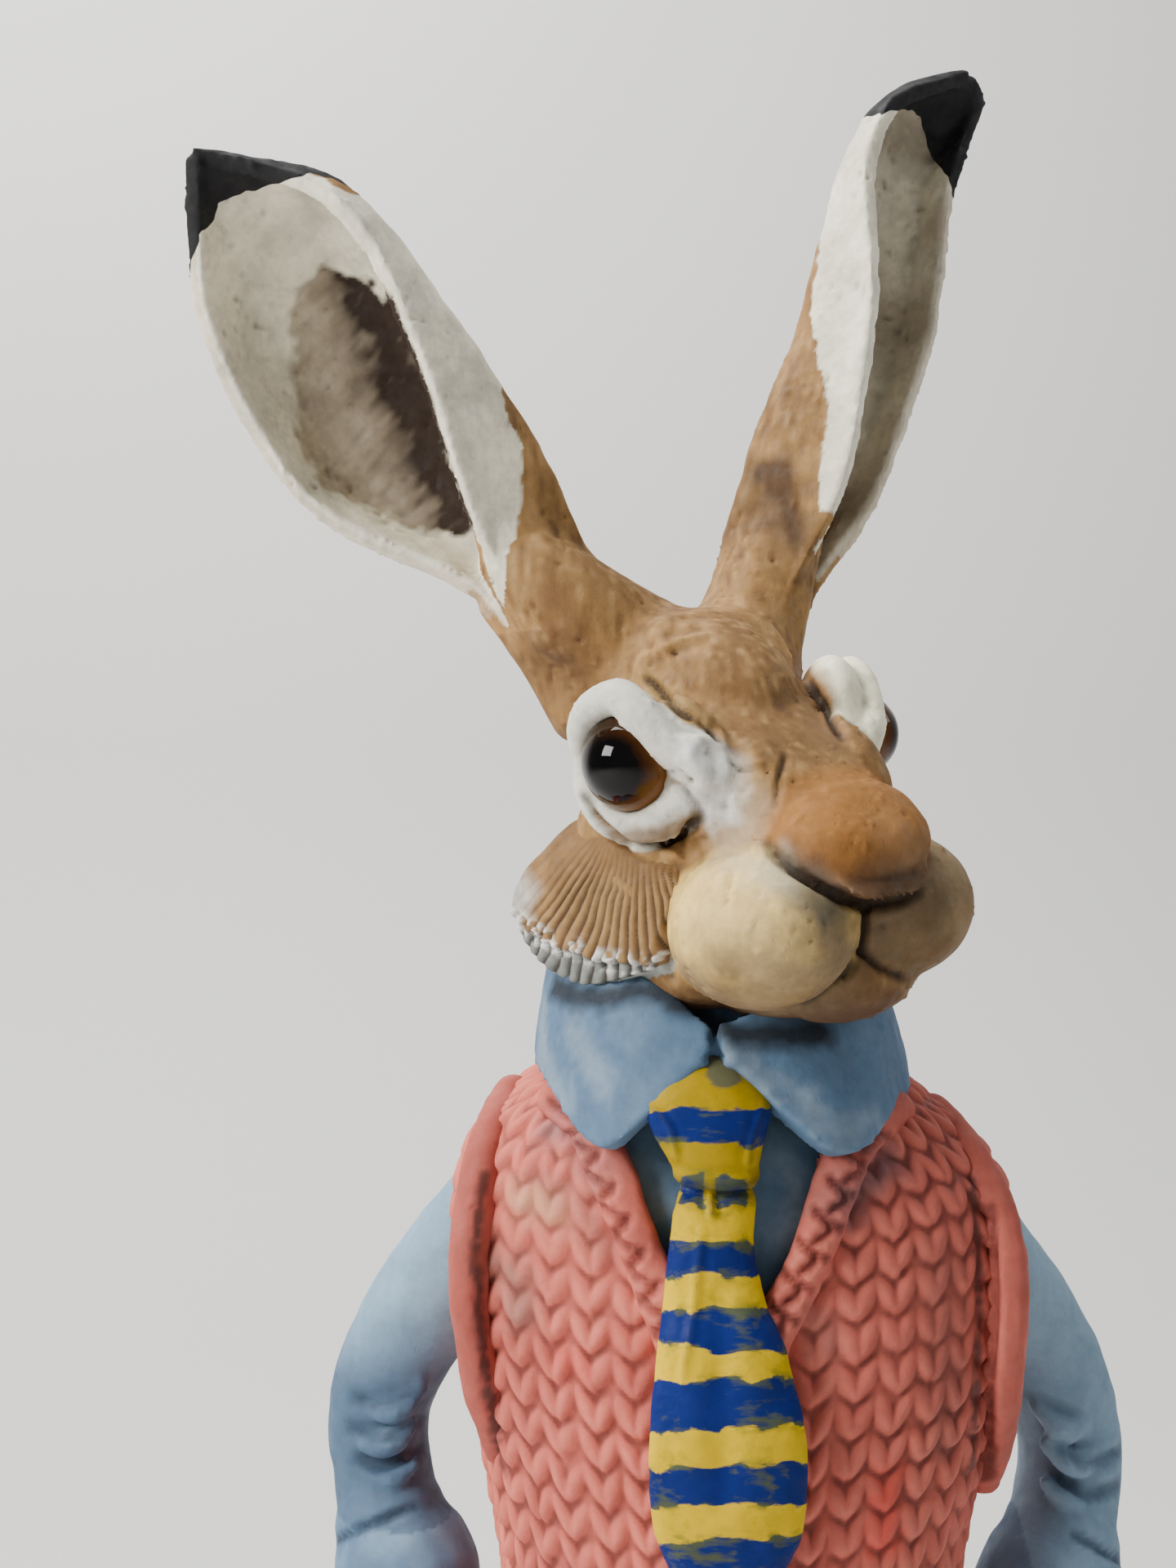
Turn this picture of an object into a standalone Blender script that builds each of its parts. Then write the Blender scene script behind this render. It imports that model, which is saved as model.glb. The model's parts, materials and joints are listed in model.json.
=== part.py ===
"""A standing hare of painted clay in shirt, tie and knitted vest, hands on hips, with two glass eyes.

Everything is in metres with +Z up. The origin is the middle of the base's underside, and the hare's
chest looks along -Y. The free forms are written in millimetres of a hare 638 mm tall from its soles
to the tip of the taller ear, and are scaled to FIGURE_HEIGHT.
"""

import math

import bmesh
import bpy
from mathutils import Matrix, Vector

# Driving dimensions, in metres
FIGURE_HEIGHT = 0.638
BASE_WIDTH = 0.180
BASE_DEPTH = 0.160
BASE_THICKNESS = 0.018
BASE_EDGE_ROUNDING = 0.004
EYE_DIAMETER = 0.024
EYE_CLEARANCE = 0.0003
EAR_WALL = 0.0044
COLLAR_THICKNESS = 0.006
VEST_THICKNESS = 0.003

# How the figure meets its base
BASE_CENTRE_Y = 0.0
FOOT_SINK = 0.002

# How finely the clay is meshed
CLAY_VOXEL = 0.0024
CLAY_SMOOTHING = 3
CLAY_KEPT_SHARE = 0.058

DESIGN_HEIGHT_MM = 638.0
MM = FIGURE_HEIGHT / DESIGN_HEIGHT_MM
CLEAR_HEIGHT = BASE_THICKNESS

# The head is modelled facing -Y about the point midway between the eyes, then turned and tilted
HEAD_TURN = math.radians(32)
HEAD_TILT = math.radians(-6.4)
HEAD_PLACE = (
    Matrix.Translation((2, -22.4, 451))
    @ Matrix.Rotation(HEAD_TURN, 4, "Z")
    @ Matrix.Rotation(HEAD_TILT, 4, "Y")
)
EYE_SIDE = 33.2
EYE_LOOK = math.radians(62)
EYE_DROP = math.radians(6)


def clear_scene():
    for obj in list(bpy.data.objects):
        bpy.data.objects.remove(obj)


def new_collection(name):
    collection = bpy.data.collections.new(name)
    bpy.context.scene.collection.children.link(collection)
    return collection


def new_object(name, bm, collection):
    mesh = bpy.data.meshes.new(name)
    bm.to_mesh(mesh)
    bm.free()
    obj = bpy.data.objects.new(name, mesh)
    collection.objects.link(obj)
    return obj


def material(name, colour, roughness):
    made = bpy.data.materials.new(name)
    made.use_nodes = True
    shader = made.node_tree.nodes["Principled BSDF"]
    shader.inputs["Base Color"].default_value = (*colour, 1)
    shader.inputs["Roughness"].default_value = roughness
    return made


# Smooth curves through a few chosen points


def through(values, steps):
    """A Catmull-Rom curve through tuples of numbers, with this many steps between neighbours."""
    rows = [Vector(v) for v in values]
    ends = [rows[0] * 2 - rows[1], *rows, rows[-1] * 2 - rows[-2]]
    out = []
    for i in range(1, len(ends) - 2):
        before, start, end, after = ends[i - 1 : i + 3]
        for k in range(steps):
            t = k / steps
            out.append(
                0.5
                * (
                    2 * start
                    + (end - before) * t
                    + (2 * before - 5 * start + 4 * end - after) * t**2
                    + (3 * start - before - 3 * end + after) * t**3
                )
            )
    return [*out, rows[-1]]


# Forms: each is one closed piece of clay, and all of them are merged at the end


def ball(centre, radii, turn=(0, 0, 0), place=Matrix.Identity(4), fullness=2.0):
    """A ball with these three radii, turned by degrees about X, Y and Z; fullness above 2 squares it."""
    bm = bmesh.new()
    bmesh.ops.create_uvsphere(bm, u_segments=28, v_segments=16, radius=1)
    for vert in bm.verts:
        vert.co *= sum(abs(v) ** fullness for v in vert.co) ** (-1 / fullness)
    spin = Matrix.Identity(4)
    for degrees, axis in zip(turn, "XYZ"):
        spin = Matrix.Rotation(math.radians(degrees), 4, axis) @ spin
    size = Matrix.Diagonal((*radii, 1))
    bmesh.ops.transform(bm, matrix=place @ Matrix.Translation(centre) @ spin @ size, verts=bm.verts)
    return new_object("form", bm, FORMS)


def limb(path, place=Matrix.Identity(4), steps=5):
    """A round limb through (x, y, z, radius) points, with round ends."""
    line = through(path, steps)
    curve = bpy.data.curves.new("limb", "CURVE")
    curve.dimensions = "3D"
    curve.bevel_depth = 1
    curve.bevel_resolution = 4
    curve.use_fill_caps = True
    spline = curve.splines.new("POLY")
    spline.points.add(len(line) - 1)
    for point, row in zip(spline.points, line):
        point.co = (*row[:3], 1)
        point.radius = row[3]
    guide = bpy.data.objects.new("limb", curve)
    FORMS.objects.link(guide)
    bpy.context.view_layer.update()
    graph = bpy.context.evaluated_depsgraph_get()
    mesh = bpy.data.meshes.new_from_object(guide.evaluated_get(graph))
    bpy.data.objects.remove(guide)
    bm = bmesh.new()
    bm.from_mesh(mesh)
    bmesh.ops.remove_doubles(bm, verts=bm.verts, dist=0.0001)
    for end in (line[0], line[-1]):
        turned = Matrix.Translation(end[:3])
        bmesh.ops.create_uvsphere(bm, u_segments=16, v_segments=10, radius=end[3], matrix=turned)
    bmesh.ops.transform(bm, matrix=place, verts=bm.verts)
    return new_object("form", bm, FORMS)


def loft(rings, place=Matrix.Identity(4)):
    """A closed skin over rings of points, with both ends filled."""
    bm = bmesh.new()
    rows = [[bm.verts.new(place @ Vector(p)) for p in ring] for ring in rings]
    count = len(rows[0])
    for low, high in zip(rows, rows[1:]):
        for i in range(count):
            j = (i + 1) % count
            bm.faces.new((low[i], low[j], high[j], high[i]))
    bm.faces.new(rows[0][::-1])
    bm.faces.new(rows[-1])
    bmesh.ops.recalc_face_normals(bm, faces=bm.faces)
    return new_object("form", bm, FORMS)


def shell(rows, wall, way=-1):
    """An open sheet over a grid of points, thickened by wall to one side."""
    bm = bmesh.new()
    grid = [[bm.verts.new(p) for p in row] for row in rows]
    for low, high in zip(grid, grid[1:]):
        for i in range(len(low) - 1):
            bm.faces.new((low[i], low[i + 1], high[i + 1], high[i]))
    obj = new_object("form", bm, FORMS)
    thicken = obj.modifiers.new("wall", "SOLIDIFY")
    thicken.thickness = wall
    thicken.offset = way
    return obj


def oval(z, half_width, front, back, middle=0.0, count=40, fullness=2.3):
    """A level ring with its front at y = front and its back at y = back; fullness 2 is an ellipse."""
    ring = []
    for i in range(count):
        angle = 2 * math.pi * i / count
        side, ahead = math.sin(angle), -math.cos(angle)
        reach = (abs(side) ** fullness + abs(ahead) ** fullness) ** (-1 / fullness)
        depth = -front if ahead < 0 else back
        ring.append((middle + half_width * side * reach, depth * ahead * reach, z))
    return ring


def mirrored(points):
    return [(-p[0], *p[1:]) for p in points]


# The body


TORSO = (
    # height, half width, front, back, middle
    (222, 56, -47, 34, 0),
    (230, 57, -48, 34, 0),
    (242, 57.5, -49, 34, 0),
    (257, 60, -50, 34, 0),
    (282, 65, -48, 35, 0),
    (307, 70, -45, 37, 0),
    (331, 71.5, -42, 38, 0),
    (345, 69, -40, 38, -1),
    (356, 62, -37, 36, -3),
    (366, 51, -31, 33, -4),
    (375, 32, -26, 29, -4),
)
VEST_TOP = 371
V_NECK = ((-36, 384), (-31, 362), (-21, 336), (-7, 300), (6, 321), (15, 339), (19, 361), (22, 384))


def shrunk(row, by):
    height, half_width, front, back, middle = row
    return height, half_width - by, front + by, back - by, middle


def shirt_body():
    inset = VEST_THICKNESS / MM
    loft([oval(*shrunk(row, inset)) for row in through(TORSO, 3)])


def vest():
    """The knitted vest over the shirt, with its V cut out of the front and a rolled band along each edge."""
    rows = [row for row in through(TORSO, 3) if row[0] <= VEST_TOP]
    body = loft([oval(*row) for row in rows])
    bm = bmesh.new()
    front = [bm.verts.new((x, -90, z)) for x, z in V_NECK]
    back = [bm.verts.new((x, -20, z)) for x, z in V_NECK]
    bm.faces.new(front)
    bm.faces.new(back[::-1])
    for i in range(len(V_NECK)):
        j = (i + 1) % len(V_NECK)
        bm.faces.new((front[j], front[i], back[i], back[j]))
    bmesh.ops.recalc_face_normals(bm, faces=bm.faces)
    cutter = new_object("v_neck_cutter", bm, CUTTERS)
    cutter.hide_render = True
    cutter.display_type = "WIRE"
    cut = body.modifiers.new("v_neck", "BOOLEAN")
    cut.operation = "DIFFERENCE"
    cut.object = cutter
    limb([(-46, -22, 366, 4), (-35, -36, 358, 4.5), (-24, -44, 333, 4.5), (-10, -49, 300, 4.5)])
    limb([(41, -22, 364, 4), (26, -38, 356, 4.5), (14, -45, 330, 4.5), (-4, -49, 299, 4.5)])
    for side in (1, -1):
        low = 4 if side > 0 else 0
        armhole = [
            (side * 56 - low, 0, 362 - low, 5),
            (side * 61 - low / 2, -18, 352 - low, 5),
            (side * 65, -25, 328, 5),
            (side * 64, -25, 298, 5),
            (side * 62, -12, 270, 5),
            (side * 63, 10, 280, 5),
            (side * 66, 19, 310, 5),
            (side * 62 - low / 2, 18, 346 - low, 5),
            (side * 56 - low, 0, 362 - low, 5),
        ]
        limb(armhole)
    hem = [oval(z, 58.5 + out, -50 - out, 36 + out) for z, out in ((218, -1), (221, 1), (230, 1), (233, -1))]
    loft(hem)


def tie():
    """A knot and a blade that hang down the chest; each row is height, middle, half width, front."""
    rows = (
        (381, -10, 4, -43),
        (376, -9.5, 9, -48),
        (369, -9, 14.3, -51),
        (362, -8.5, 13, -52),
        (353, -7, 9.5, -50),
        (349.5, -7, 8, -48),
        (346, -7, 9, -50),
        (336, -8, 9.8, -51),
        (323, -7.3, 12, -53),
        (312, -6, 15, -56),
        (300, -5.2, 17, -58),
        (288, -4.8, 17.8, -59),
        (275, -4.8, 16.8, -59),
        (262, -5.2, 10.5, -58),
        (251, -5.8, 2.5, -56),
    )
    thickness = 10
    rings = []
    for height, middle, half_width, front in through(rows, 2):
        ring = []
        for i in range(20):
            angle = 2 * math.pi * i / 20
            across, deep = math.cos(angle), math.sin(angle)
            ring.append((middle + half_width * across, front + thickness / 2 * (1 - deep), height))
        rings.append(ring)
    loft(rings)


def collar():
    """Two wings folded down from the neck, and the neck itself."""
    limb([(0, 4, 372, 31), (0, 2, 386, 30), (2, -2, 400, 28)])
    edges = (
        # where the collar leaves the neck, and where it ends
        (
            [(0, 33, 397), (-31, 24, 400), (-46, 2, 400), (-39, -21, 399), (-22, -35, 397), (-8, -41, 386)],
            [(0, 43, 373), (-41, 29, 371), (-50, 3, 374), (-47, -24, 370), (-33, -47, 359), (-9, -48, 380)],
        ),
        (
            [(0, 33, 397), (30, 24, 395), (39, 2, 393), (31, -21, 394), (14, -36, 393), (-6, -41, 386)],
            [(0, 43, 373), (38, 29, 368), (46, 3, 369), (40, -24, 364), (21, -47, 358), (-5, -48, 380)],
        ),
    )
    for high, low in edges:
        top, bottom = through(high, 5), through(low, 5)
        rows = []
        for k in range(6):
            share = k / 5
            bulge = 3 * math.sin(math.pi * share)
            row = [a.lerp(b, share) + Vector((0, 0, bulge)) for a, b in zip(top, bottom)]
            rows.append(row if high[1][0] > 0 else row[::-1])
        shell(rows, COLLAR_THICKNESS / MM)


def arm(side, drop):
    """Sleeve, turned-back cuff and a paw on the hip."""

    def there(x, y, z, *more):
        return (side * x, y, z - drop, *more)

    limb(
        [
            there(58, 6, 334, 14.5),
            there(73, 12, 313, 15.5),
            there(87, 17, 291, 14.5),
            there(92.5, 19, 272, 13.4),
            there(90.5, 15, 255, 13.4),
            there(86, 8, 242, 13.5),
        ]
    )
    # Three folds where the sleeve bends
    for height, reach in ((281, 88), (272, 90), (262, 90)):
        limb([there(reach - 8, 4, height + 4, 2), there(reach - 1, 3, height - 1, 3), there(reach + 9, 10, height, 2)])
    limb([there(88, 10, 248, 15), there(86, 8, 243, 17.5), there(82, 4, 234, 18.5), there(79, 1, 229, 16.5)])
    limb([there(81, 3, 234, 10), there(72, -6, 218, 9.5), there(62, -14, 208, 10.5)])
    for finger in range(4):
        fall = 7.4 * finger
        reach = (0, 4, 3, -3)[finger]
        limb(
            [
                there(64, -18, 213 - fall * 0.7, 4.8),
                there(54, -33, 212 - fall, 4.6),
                there(44 - reach, -42, 206 - fall * 1.1, 4),
            ]
        )
    limb([there(68, -2, 216, 5.5), there(62, 14, 213, 5), there(54, 25, 209, 4.4)])


def legs_and_feet():
    seat = ((168, 34, -24, 26), (178, 46, -32, 32), (195, 53, -38, 36), (212, 54, -42, 35), (226, 53, -44, 32))
    loft([oval(*row) for row in through(seat, 3)])
    for side in (1, -1):
        limb(
            [
                (side * 26, -3, 194, 27),
                (side * 29, -4, 150, 24),
                (side * 31, -5, 118, 21.5),
                (side * 32, -2, 80, 20),
                (side * 33, 0, 44, 18.5),
                (side * 33, 0, 33, 19),
            ]
        )
        # Cloth gathers in rolls above the foot
        for height, reach in ((31, 16.5), (41, 15), (52, 15.5)):
            roll = [
                (side * 33 + reach * math.cos(a), reach * math.sin(a), height + 2 * math.sin(a + height), 4)
                for a in (math.radians(d) for d in range(0, 361, 30))
            ]
            limb(roll, steps=2)
        limb([(side * 33, 18, 11.5, 12.5), (side * 33, 0, 15, 14.5), (side * 36, -26, 11.5, 13), (side * 38, -48, 8.5, 12)])
        for toe in range(4):
            spread = (toe - 1.5) * 6.6
            reach = -66 + abs(toe - 1.6) * 3
            limb([(side * 38 + spread * 0.8, -46, 8, 6), (side * 39 + spread * 1.2, reach, 6, 5.4)])


# The head


def head():
    def at(*args, **more):
        return ball(*args, place=HEAD_PLACE, **more)

    at((-2, 18, 5), (25, 33, 29))
    at((0, 22, -16), (28, 28, 32))
    at((0, 6, -30), (32, 30, 26))
    # Brow, bridge and nose
    # Distance back, height, middle, half width and half depth
    bridge = (
        (20, 36, 0, 18, 9),
        (9, 34, 0, 19, 9),
        (3, 28, -1, 17, 9.5),
        (-2, 22, -2.5, 16.5, 9.5),
        (-8, 16, -3, 15.5, 9.5),
        (-17, 9, -3.5, 14.5, 10),
        (-26, 1.5, -2.5, 14.5, 11),
        (-34, -6, -1, 14.5, 12),
        (-39, -11, 0, 14, 12),
    )
    rings = []
    for back, up, middle, half_width, deep in through(bridge, 3):
        ring = []
        for i in range(24):
            angle = 2 * math.pi * i / 24
            across, rise = math.cos(angle), math.sin(angle)
            reach = (abs(across) ** 3 + abs(rise) ** 3) ** (-1 / 3)
            level = rise * reach * deep
            ring.append((middle + half_width * across * reach, back + level * 0.62 - 4, up - deep + level))
        rings.append(ring)
    loft(rings, HEAD_PLACE)
    at((0, -35.5, -21.5), (19.5, 14, 11.5), turn=(43, 0, 0), fullness=2.4)
    # Two lip pads, jaw and chin
    at((-19, -25, -39.5), (22, 21, 18.5))
    at((15.5, -27, -39.5), (22, 20, 18))
    at((0, -12, -48), (26, 26, 17))
    at((3, -24, -53), (20, 17, 12))
    at((-17, 0, -48), (17, 18, 13))
    for side in (1, -1):
        at((side * 14, -14, -13), (12, 17, 18))
        at((side * 28, 19, -17), (8, 11, 9))
        cheek(side)
        eyelids(side)


def cheek(side):
    """The cheek below the eye, and a scallop of combed fur that stands out over the collar."""
    ball((side * 25, 10, -33), (13, 22, 17), place=HEAD_PLACE)
    ball((side * 22, 24, -34), (17, 18, 18), place=HEAD_PLACE)
    inner = through([(25, 25, -11), (32, 10, -17), (32, -3, -20), (29, -10, -23), (27, -13, -29)], 4)
    rim = through([(31, 27, -15), (42, 43, -31), (42, 44, -45), (41, 21, -54), (34, -7, -48)], 4)
    rows = []
    for k in range(6):
        share = k / 5
        row = []
        for near, far in zip(inner, rim):
            point = near.lerp(far, share) + Vector((1.5 * math.sin(math.pi * share), 0, 0))
            row.append(HEAD_PLACE @ Vector((side * point.x, point.y, point.z)))
        rows.append(row if side > 0 else row[::-1])
    shell(rows, 8)


def eye_frame(side):
    """Middle of the eye, with its local Z looking out of the eye and its local Y up."""
    across = side * EYE_LOOK
    look = Vector((math.sin(across) * math.cos(EYE_DROP), -math.cos(across) * math.cos(EYE_DROP), -math.sin(EYE_DROP)))
    right = Vector((0, 0, 1)).cross(look).normalized()
    turned = Matrix((right, look.cross(right), look)).transposed().to_4x4()
    return HEAD_PLACE @ Matrix.Translation((side * EYE_SIDE, 0, 0)) @ turned


def eyelids(side):
    """A hooded upper lid that runs on to the tear corner, and a lower lid rolled under the glass."""
    place = eye_frame(side)
    # Each row is towards the nose, up, out of the eye, and how thick the roll is
    upper = (
        (-12.8, 4, 0.5, 2.8),
        (-11.6, 9, 1.5, 3.3),
        (-7.4, 13.4, 2.5, 3.9),
        (0.1, 15.6, 3, 4.3),
        (4.8, 12.6, 4, 4.7),
        (8.6, 8.2, 4.4, 4.9),
        (12.3, 3.8, 3.8, 5.1),
        (16.5, 0.6, 2.6, 5.4),
        (21, -4.4, 0.2, 4.8),
    )
    lower = (
        (-12.7, 2, 0, 2.5),
        (-12.4, -6, 1, 3),
        (-7.4, -12.6, 2, 3.8),
        (0.8, -15.2, 2.6, 4.6),
        (8, -13, 2.6, 4.9),
        (13.8, -10, 1.6, 4.8),
        (19, -7.4, 0, 4.4),
    )
    # The left eye's lids lie deeper, so that more of its glass shows from the side
    sunk = 3 if side > 0 else 0
    for row in (upper, lower):
        limb([(-side * x, y, z - sunk, thick) for x, y, z, thick in row], place)
    ball((-side * 3, 0, -6), (11, 14, 9), place=place)
    ball((-side * 12, 0, -3 - sunk), (10, 14, 7), place=place)
    if side > 0:
        ball((-side * 9, 6, -7), (12, 14, 8), place=place)


# The ears: where the skin crosses each of several levels, from root to tip


RIGHT_EAR = (
    # distance back, then across and up for the outer rim, the inner fold and the lip
    (-9, -49, 472, -26, 491, -47, 478),
    (-11, -60, 485, -37, 502, -54, 489),
    (-14, -75, 494, -44, 518, -62, 502),
    (-17, -94, 502, -53, 534, -68, 519),
    (-20, -109, 512, -63, 549, -73, 537),
    (-23, -120, 527, -73, 563, -79, 553),
    (-26, -128, 543, -83, 576, -86, 569),
    (-29, -133, 559, -96, 587, -97, 582),
    (-31, -133, 574, -111, 591, -111, 588),
    (-34, -132, 590, -129, 593, -130, 592),
)
LEFT_EAR = (
    (8, 20, 479, -4, 494, 14, 488),
    (10, 27, 495, -1, 504, 17, 495),
    (13, 39, 511, 4, 522, 25, 510),
    (15, 48, 528, 9, 538, 31, 526),
    (18, 56, 550, 18, 560, 35, 549),
    (21, 62, 570, 24, 580, 38, 570),
    (23, 65, 592, 29, 600, 37, 591),
    (25, 67, 608, 34, 615, 37, 608),
    (28, 73, 625, 45, 631, 45, 626),
    (29, 75, 633, 58, 637, 59, 633),
    (30, 71, 638, 68, 639, 69, 638),
)
# How far back each corner of a section lies, as shares of the ear's width there
RIGHT_EAR_DEPTHS = (0.16, 0.42, 0.4, 0.06, -0.14)
LEFT_EAR_DEPTHS = (0.43, 0.66, 0.5, 0, -0.38)
RIGHT_ROOT = ((-14, 0, 466, 21), (-28, -5, 476, 17), (-44, -9, 489, 14), (-56, -8, 503, 9), (-63, -4, 515, 3))
RIGHT_BROW = ((-60, -6, 487, 4), (-49, -5, 475, 6), (-38, -5, 460, 8))
LEFT_ROOT = ((0, 4, 470, 21), (6, 9, 482, 15), (11, 13, 498, 13), (18, 18, 516, 10), (24, 22, 532, 6))


def ear(levels, depths, root, way):
    """A cupped ear: at each level one skin line runs from the rim round the back to the inner lip."""
    rows = []
    for back, rim_x, rim_z, fold_x, fold_z, lip_x, lip_z in through(levels, 2):
        rim, fold, lip = Vector((rim_x, back, rim_z)), Vector((fold_x, back, fold_z)), Vector((lip_x, back, lip_z))
        width = (fold - rim).length
        corners = (rim, rim.lerp(fold, 0.25), rim.lerp(fold, 0.75), fold, lip)
        line = [corner + Vector((0, width * depth, 0)) for corner, depth in zip(corners, depths)]
        rows.append(through(line, 4))
    shell(rows, EAR_WALL / MM, way)
    limb(root)


def glass_eye(name, side, look):
    bm = bmesh.new()
    bmesh.ops.create_uvsphere(bm, u_segments=20, v_segments=12, radius=EYE_DIAMETER / 2)
    eye = new_object(name, bm, PARTS)
    eye.data.materials.append(look)
    place = eye_frame(side)
    turned = place.to_3x3().to_4x4()
    middle = place.translation * MM
    middle.z += CLEAR_HEIGHT - FOOT_SINK
    eye.matrix_world = Matrix.Translation(middle) @ turned
    bpy.context.view_layer.update()
    eye.data.shade_smooth()
    socket = bpy.data.objects.new(name + "_socket", eye.data.copy())
    CUTTERS.objects.link(socket)
    grown = 1 + 2 * EYE_CLEARANCE / EYE_DIAMETER
    socket.matrix_world = eye.matrix_world @ Matrix.Scale(grown, 4)
    socket.hide_render = True
    socket.display_type = "WIRE"
    return socket


def low_base():
    bm = bmesh.new()
    bmesh.ops.create_cone(bm, cap_ends=True, segments=56, radius1=0.5, radius2=0.5, depth=1)
    size = Matrix.Diagonal((BASE_WIDTH, BASE_DEPTH, BASE_THICKNESS, 1))
    middle = Matrix.Translation((0, BASE_CENTRE_Y, BASE_THICKNESS / 2))
    bmesh.ops.transform(bm, matrix=middle @ size, verts=bm.verts)
    rim = [e for e in bm.edges if all(v.co.z > BASE_THICKNESS * 0.9 for v in e.verts)]
    bmesh.ops.bevel(bm, geom=rim, offset=BASE_EDGE_ROUNDING, segments=2, affect="EDGES", profile=0.5)
    base = new_object("base_slab", bm, CUTTERS)
    base.hide_render = True
    base.display_type = "WIRE"
    return base


def merged(forms, name, look):
    """All the forms as one mesh, moved to stand on the base, ready for the voxel remesh."""
    bpy.context.view_layer.update()
    graph = bpy.context.evaluated_depsgraph_get()
    bm = bmesh.new()
    for form in forms:
        mesh = bpy.data.meshes.new_from_object(form.evaluated_get(graph))
        bm.from_mesh(mesh)
    for form in forms:
        bpy.data.objects.remove(form)
    stand = Matrix.Translation((0, 0, CLEAR_HEIGHT - FOOT_SINK)) @ Matrix.Scale(MM, 4)
    bmesh.ops.transform(bm, matrix=stand, verts=bm.verts)
    obj = new_object(name, bm, PARTS)
    obj.data.materials.append(look)
    return obj


def figure():
    shirt_body()
    vest()
    tie()
    collar()
    arm(-1, 0)
    arm(1, 5)
    legs_and_feet()
    head()
    ear(RIGHT_EAR, RIGHT_EAR_DEPTHS, RIGHT_ROOT, 1)
    limb(RIGHT_BROW)
    ear(LEFT_EAR, LEFT_EAR_DEPTHS, LEFT_ROOT, -1)
    clay = material("painted_clay", (0.36, 0.2, 0.11), 0.75)
    body = merged(list(FORMS.objects), "hare_figure", clay)
    remesh = body.modifiers.new("one_body", "REMESH")
    remesh.mode = "VOXEL"
    remesh.voxel_size = CLAY_VOXEL
    soften = body.modifiers.new("soften", "SMOOTH")
    soften.factor = 0.5
    soften.iterations = CLAY_SMOOTHING
    fewer = body.modifiers.new("fewer_faces", "DECIMATE")
    fewer.ratio = CLAY_KEPT_SHARE
    glass = material("brown_glass", (0.12, 0.035, 0.008), 0.05)
    cutters = [glass_eye("right_eye", -1, glass), glass_eye("left_eye", 1, glass)]
    for socket in cutters:
        cut = body.modifiers.new(socket.name, "BOOLEAN")
        cut.operation = "DIFFERENCE"
        cut.object = socket
    stand = body.modifiers.new("base", "BOOLEAN")
    stand.operation = "UNION"
    stand.object = low_base()
    return body


clear_scene()
PARTS = new_collection("hare_sculpture")
CUTTERS = new_collection("cutters")
FORMS = new_collection("forms")
figure()
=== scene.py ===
# %% [markdown]
# # A hare in painted clay
# The real thing is one hand-modelled figure: a hare in a shirt, a painted tie and a knitted vest,
# with its paws on its hips and two glass eyes. It is clay all through, pressed and combed with simple
# tools, then painted by hand with matt paint.
#
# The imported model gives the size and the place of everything. Here each part of the figure is made
# again with finer clay: thumb marks, cracks, combed fur, knit stitches and brush strokes.

import math

import bpy
import numpy as np
from mathutils import Matrix, Vector
from mathutils.bvhtree import BVHTree
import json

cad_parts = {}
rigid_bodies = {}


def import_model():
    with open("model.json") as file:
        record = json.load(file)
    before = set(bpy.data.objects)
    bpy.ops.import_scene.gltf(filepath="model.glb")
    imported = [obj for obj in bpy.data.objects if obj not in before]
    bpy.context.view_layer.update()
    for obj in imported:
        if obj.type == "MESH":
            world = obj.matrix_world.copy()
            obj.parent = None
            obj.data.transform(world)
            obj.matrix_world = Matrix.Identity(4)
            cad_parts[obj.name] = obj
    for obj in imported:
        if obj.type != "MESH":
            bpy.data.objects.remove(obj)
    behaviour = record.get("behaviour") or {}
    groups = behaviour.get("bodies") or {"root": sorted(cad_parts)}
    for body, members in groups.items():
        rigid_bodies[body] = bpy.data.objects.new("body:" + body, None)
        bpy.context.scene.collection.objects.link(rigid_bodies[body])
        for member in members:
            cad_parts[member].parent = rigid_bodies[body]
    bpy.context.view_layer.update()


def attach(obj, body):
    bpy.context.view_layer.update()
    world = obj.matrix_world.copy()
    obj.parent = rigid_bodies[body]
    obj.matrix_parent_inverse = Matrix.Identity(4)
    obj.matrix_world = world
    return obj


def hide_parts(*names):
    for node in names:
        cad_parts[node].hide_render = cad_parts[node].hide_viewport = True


for obj in list(bpy.data.objects):
    bpy.data.objects.remove(obj)
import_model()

# %% [markdown]
# # How the figure is measured
# A sculptor measures from the soles up, so every form below is written in millimetres above the
# soles, with the hare's chest towards -Y. The soles sink 2 mm into a base 18 mm thick, and that is
# the only step from these millimetres to the metres of the frame.

# %% From millimetres above the soles to metres above the table
MM = 0.001
SOLE_HEIGHT = 0.016


def to_metres(points):
    return points * MM + np.array((0, 0, SOLE_HEIGHT))


# %% [markdown]
# # Curves through a few points
# Clay has few straight lines. Every form here follows a smooth curve through a handful of chosen
# points. A Catmull-Rom curve is used because it passes through each point that is given to it.

# %% A smooth curve through a few points


def through(values, steps):
    rows = [Vector(v) for v in values]
    ends = [rows[0] * 2 - rows[1], *rows, rows[-1] * 2 - rows[-2]]
    out = []
    for i in range(1, len(ends) - 2):
        before, start, end, after = ends[i - 1 : i + 3]
        for k in range(steps):
            t = k / steps
            bend = (2 * before - 5 * start + 4 * end - after) * t**2
            twist = (3 * start - before - 3 * end + after) * t**3
            out.append(0.5 * (2 * start + (end - before) * t + bend + twist))
    return [*out, rows[-1]]


# %% [markdown]
# # Four shapes of clay
# Everything is pressed together from balls, rolls, lofted lumps and rolled-out sheets, just as at
# the modelling table. Each is a closed mesh, kept as plain arrays of points and faces, because they
# are only joined and skinned over later.

# %% Ball, loft, roll and sheet
UPRIGHT = Matrix.Identity(4)


def moved(points, place):
    turned = np.array(place)
    return np.asarray(points, float) @ turned[:3, :3].T + turned[:3, 3]


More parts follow.
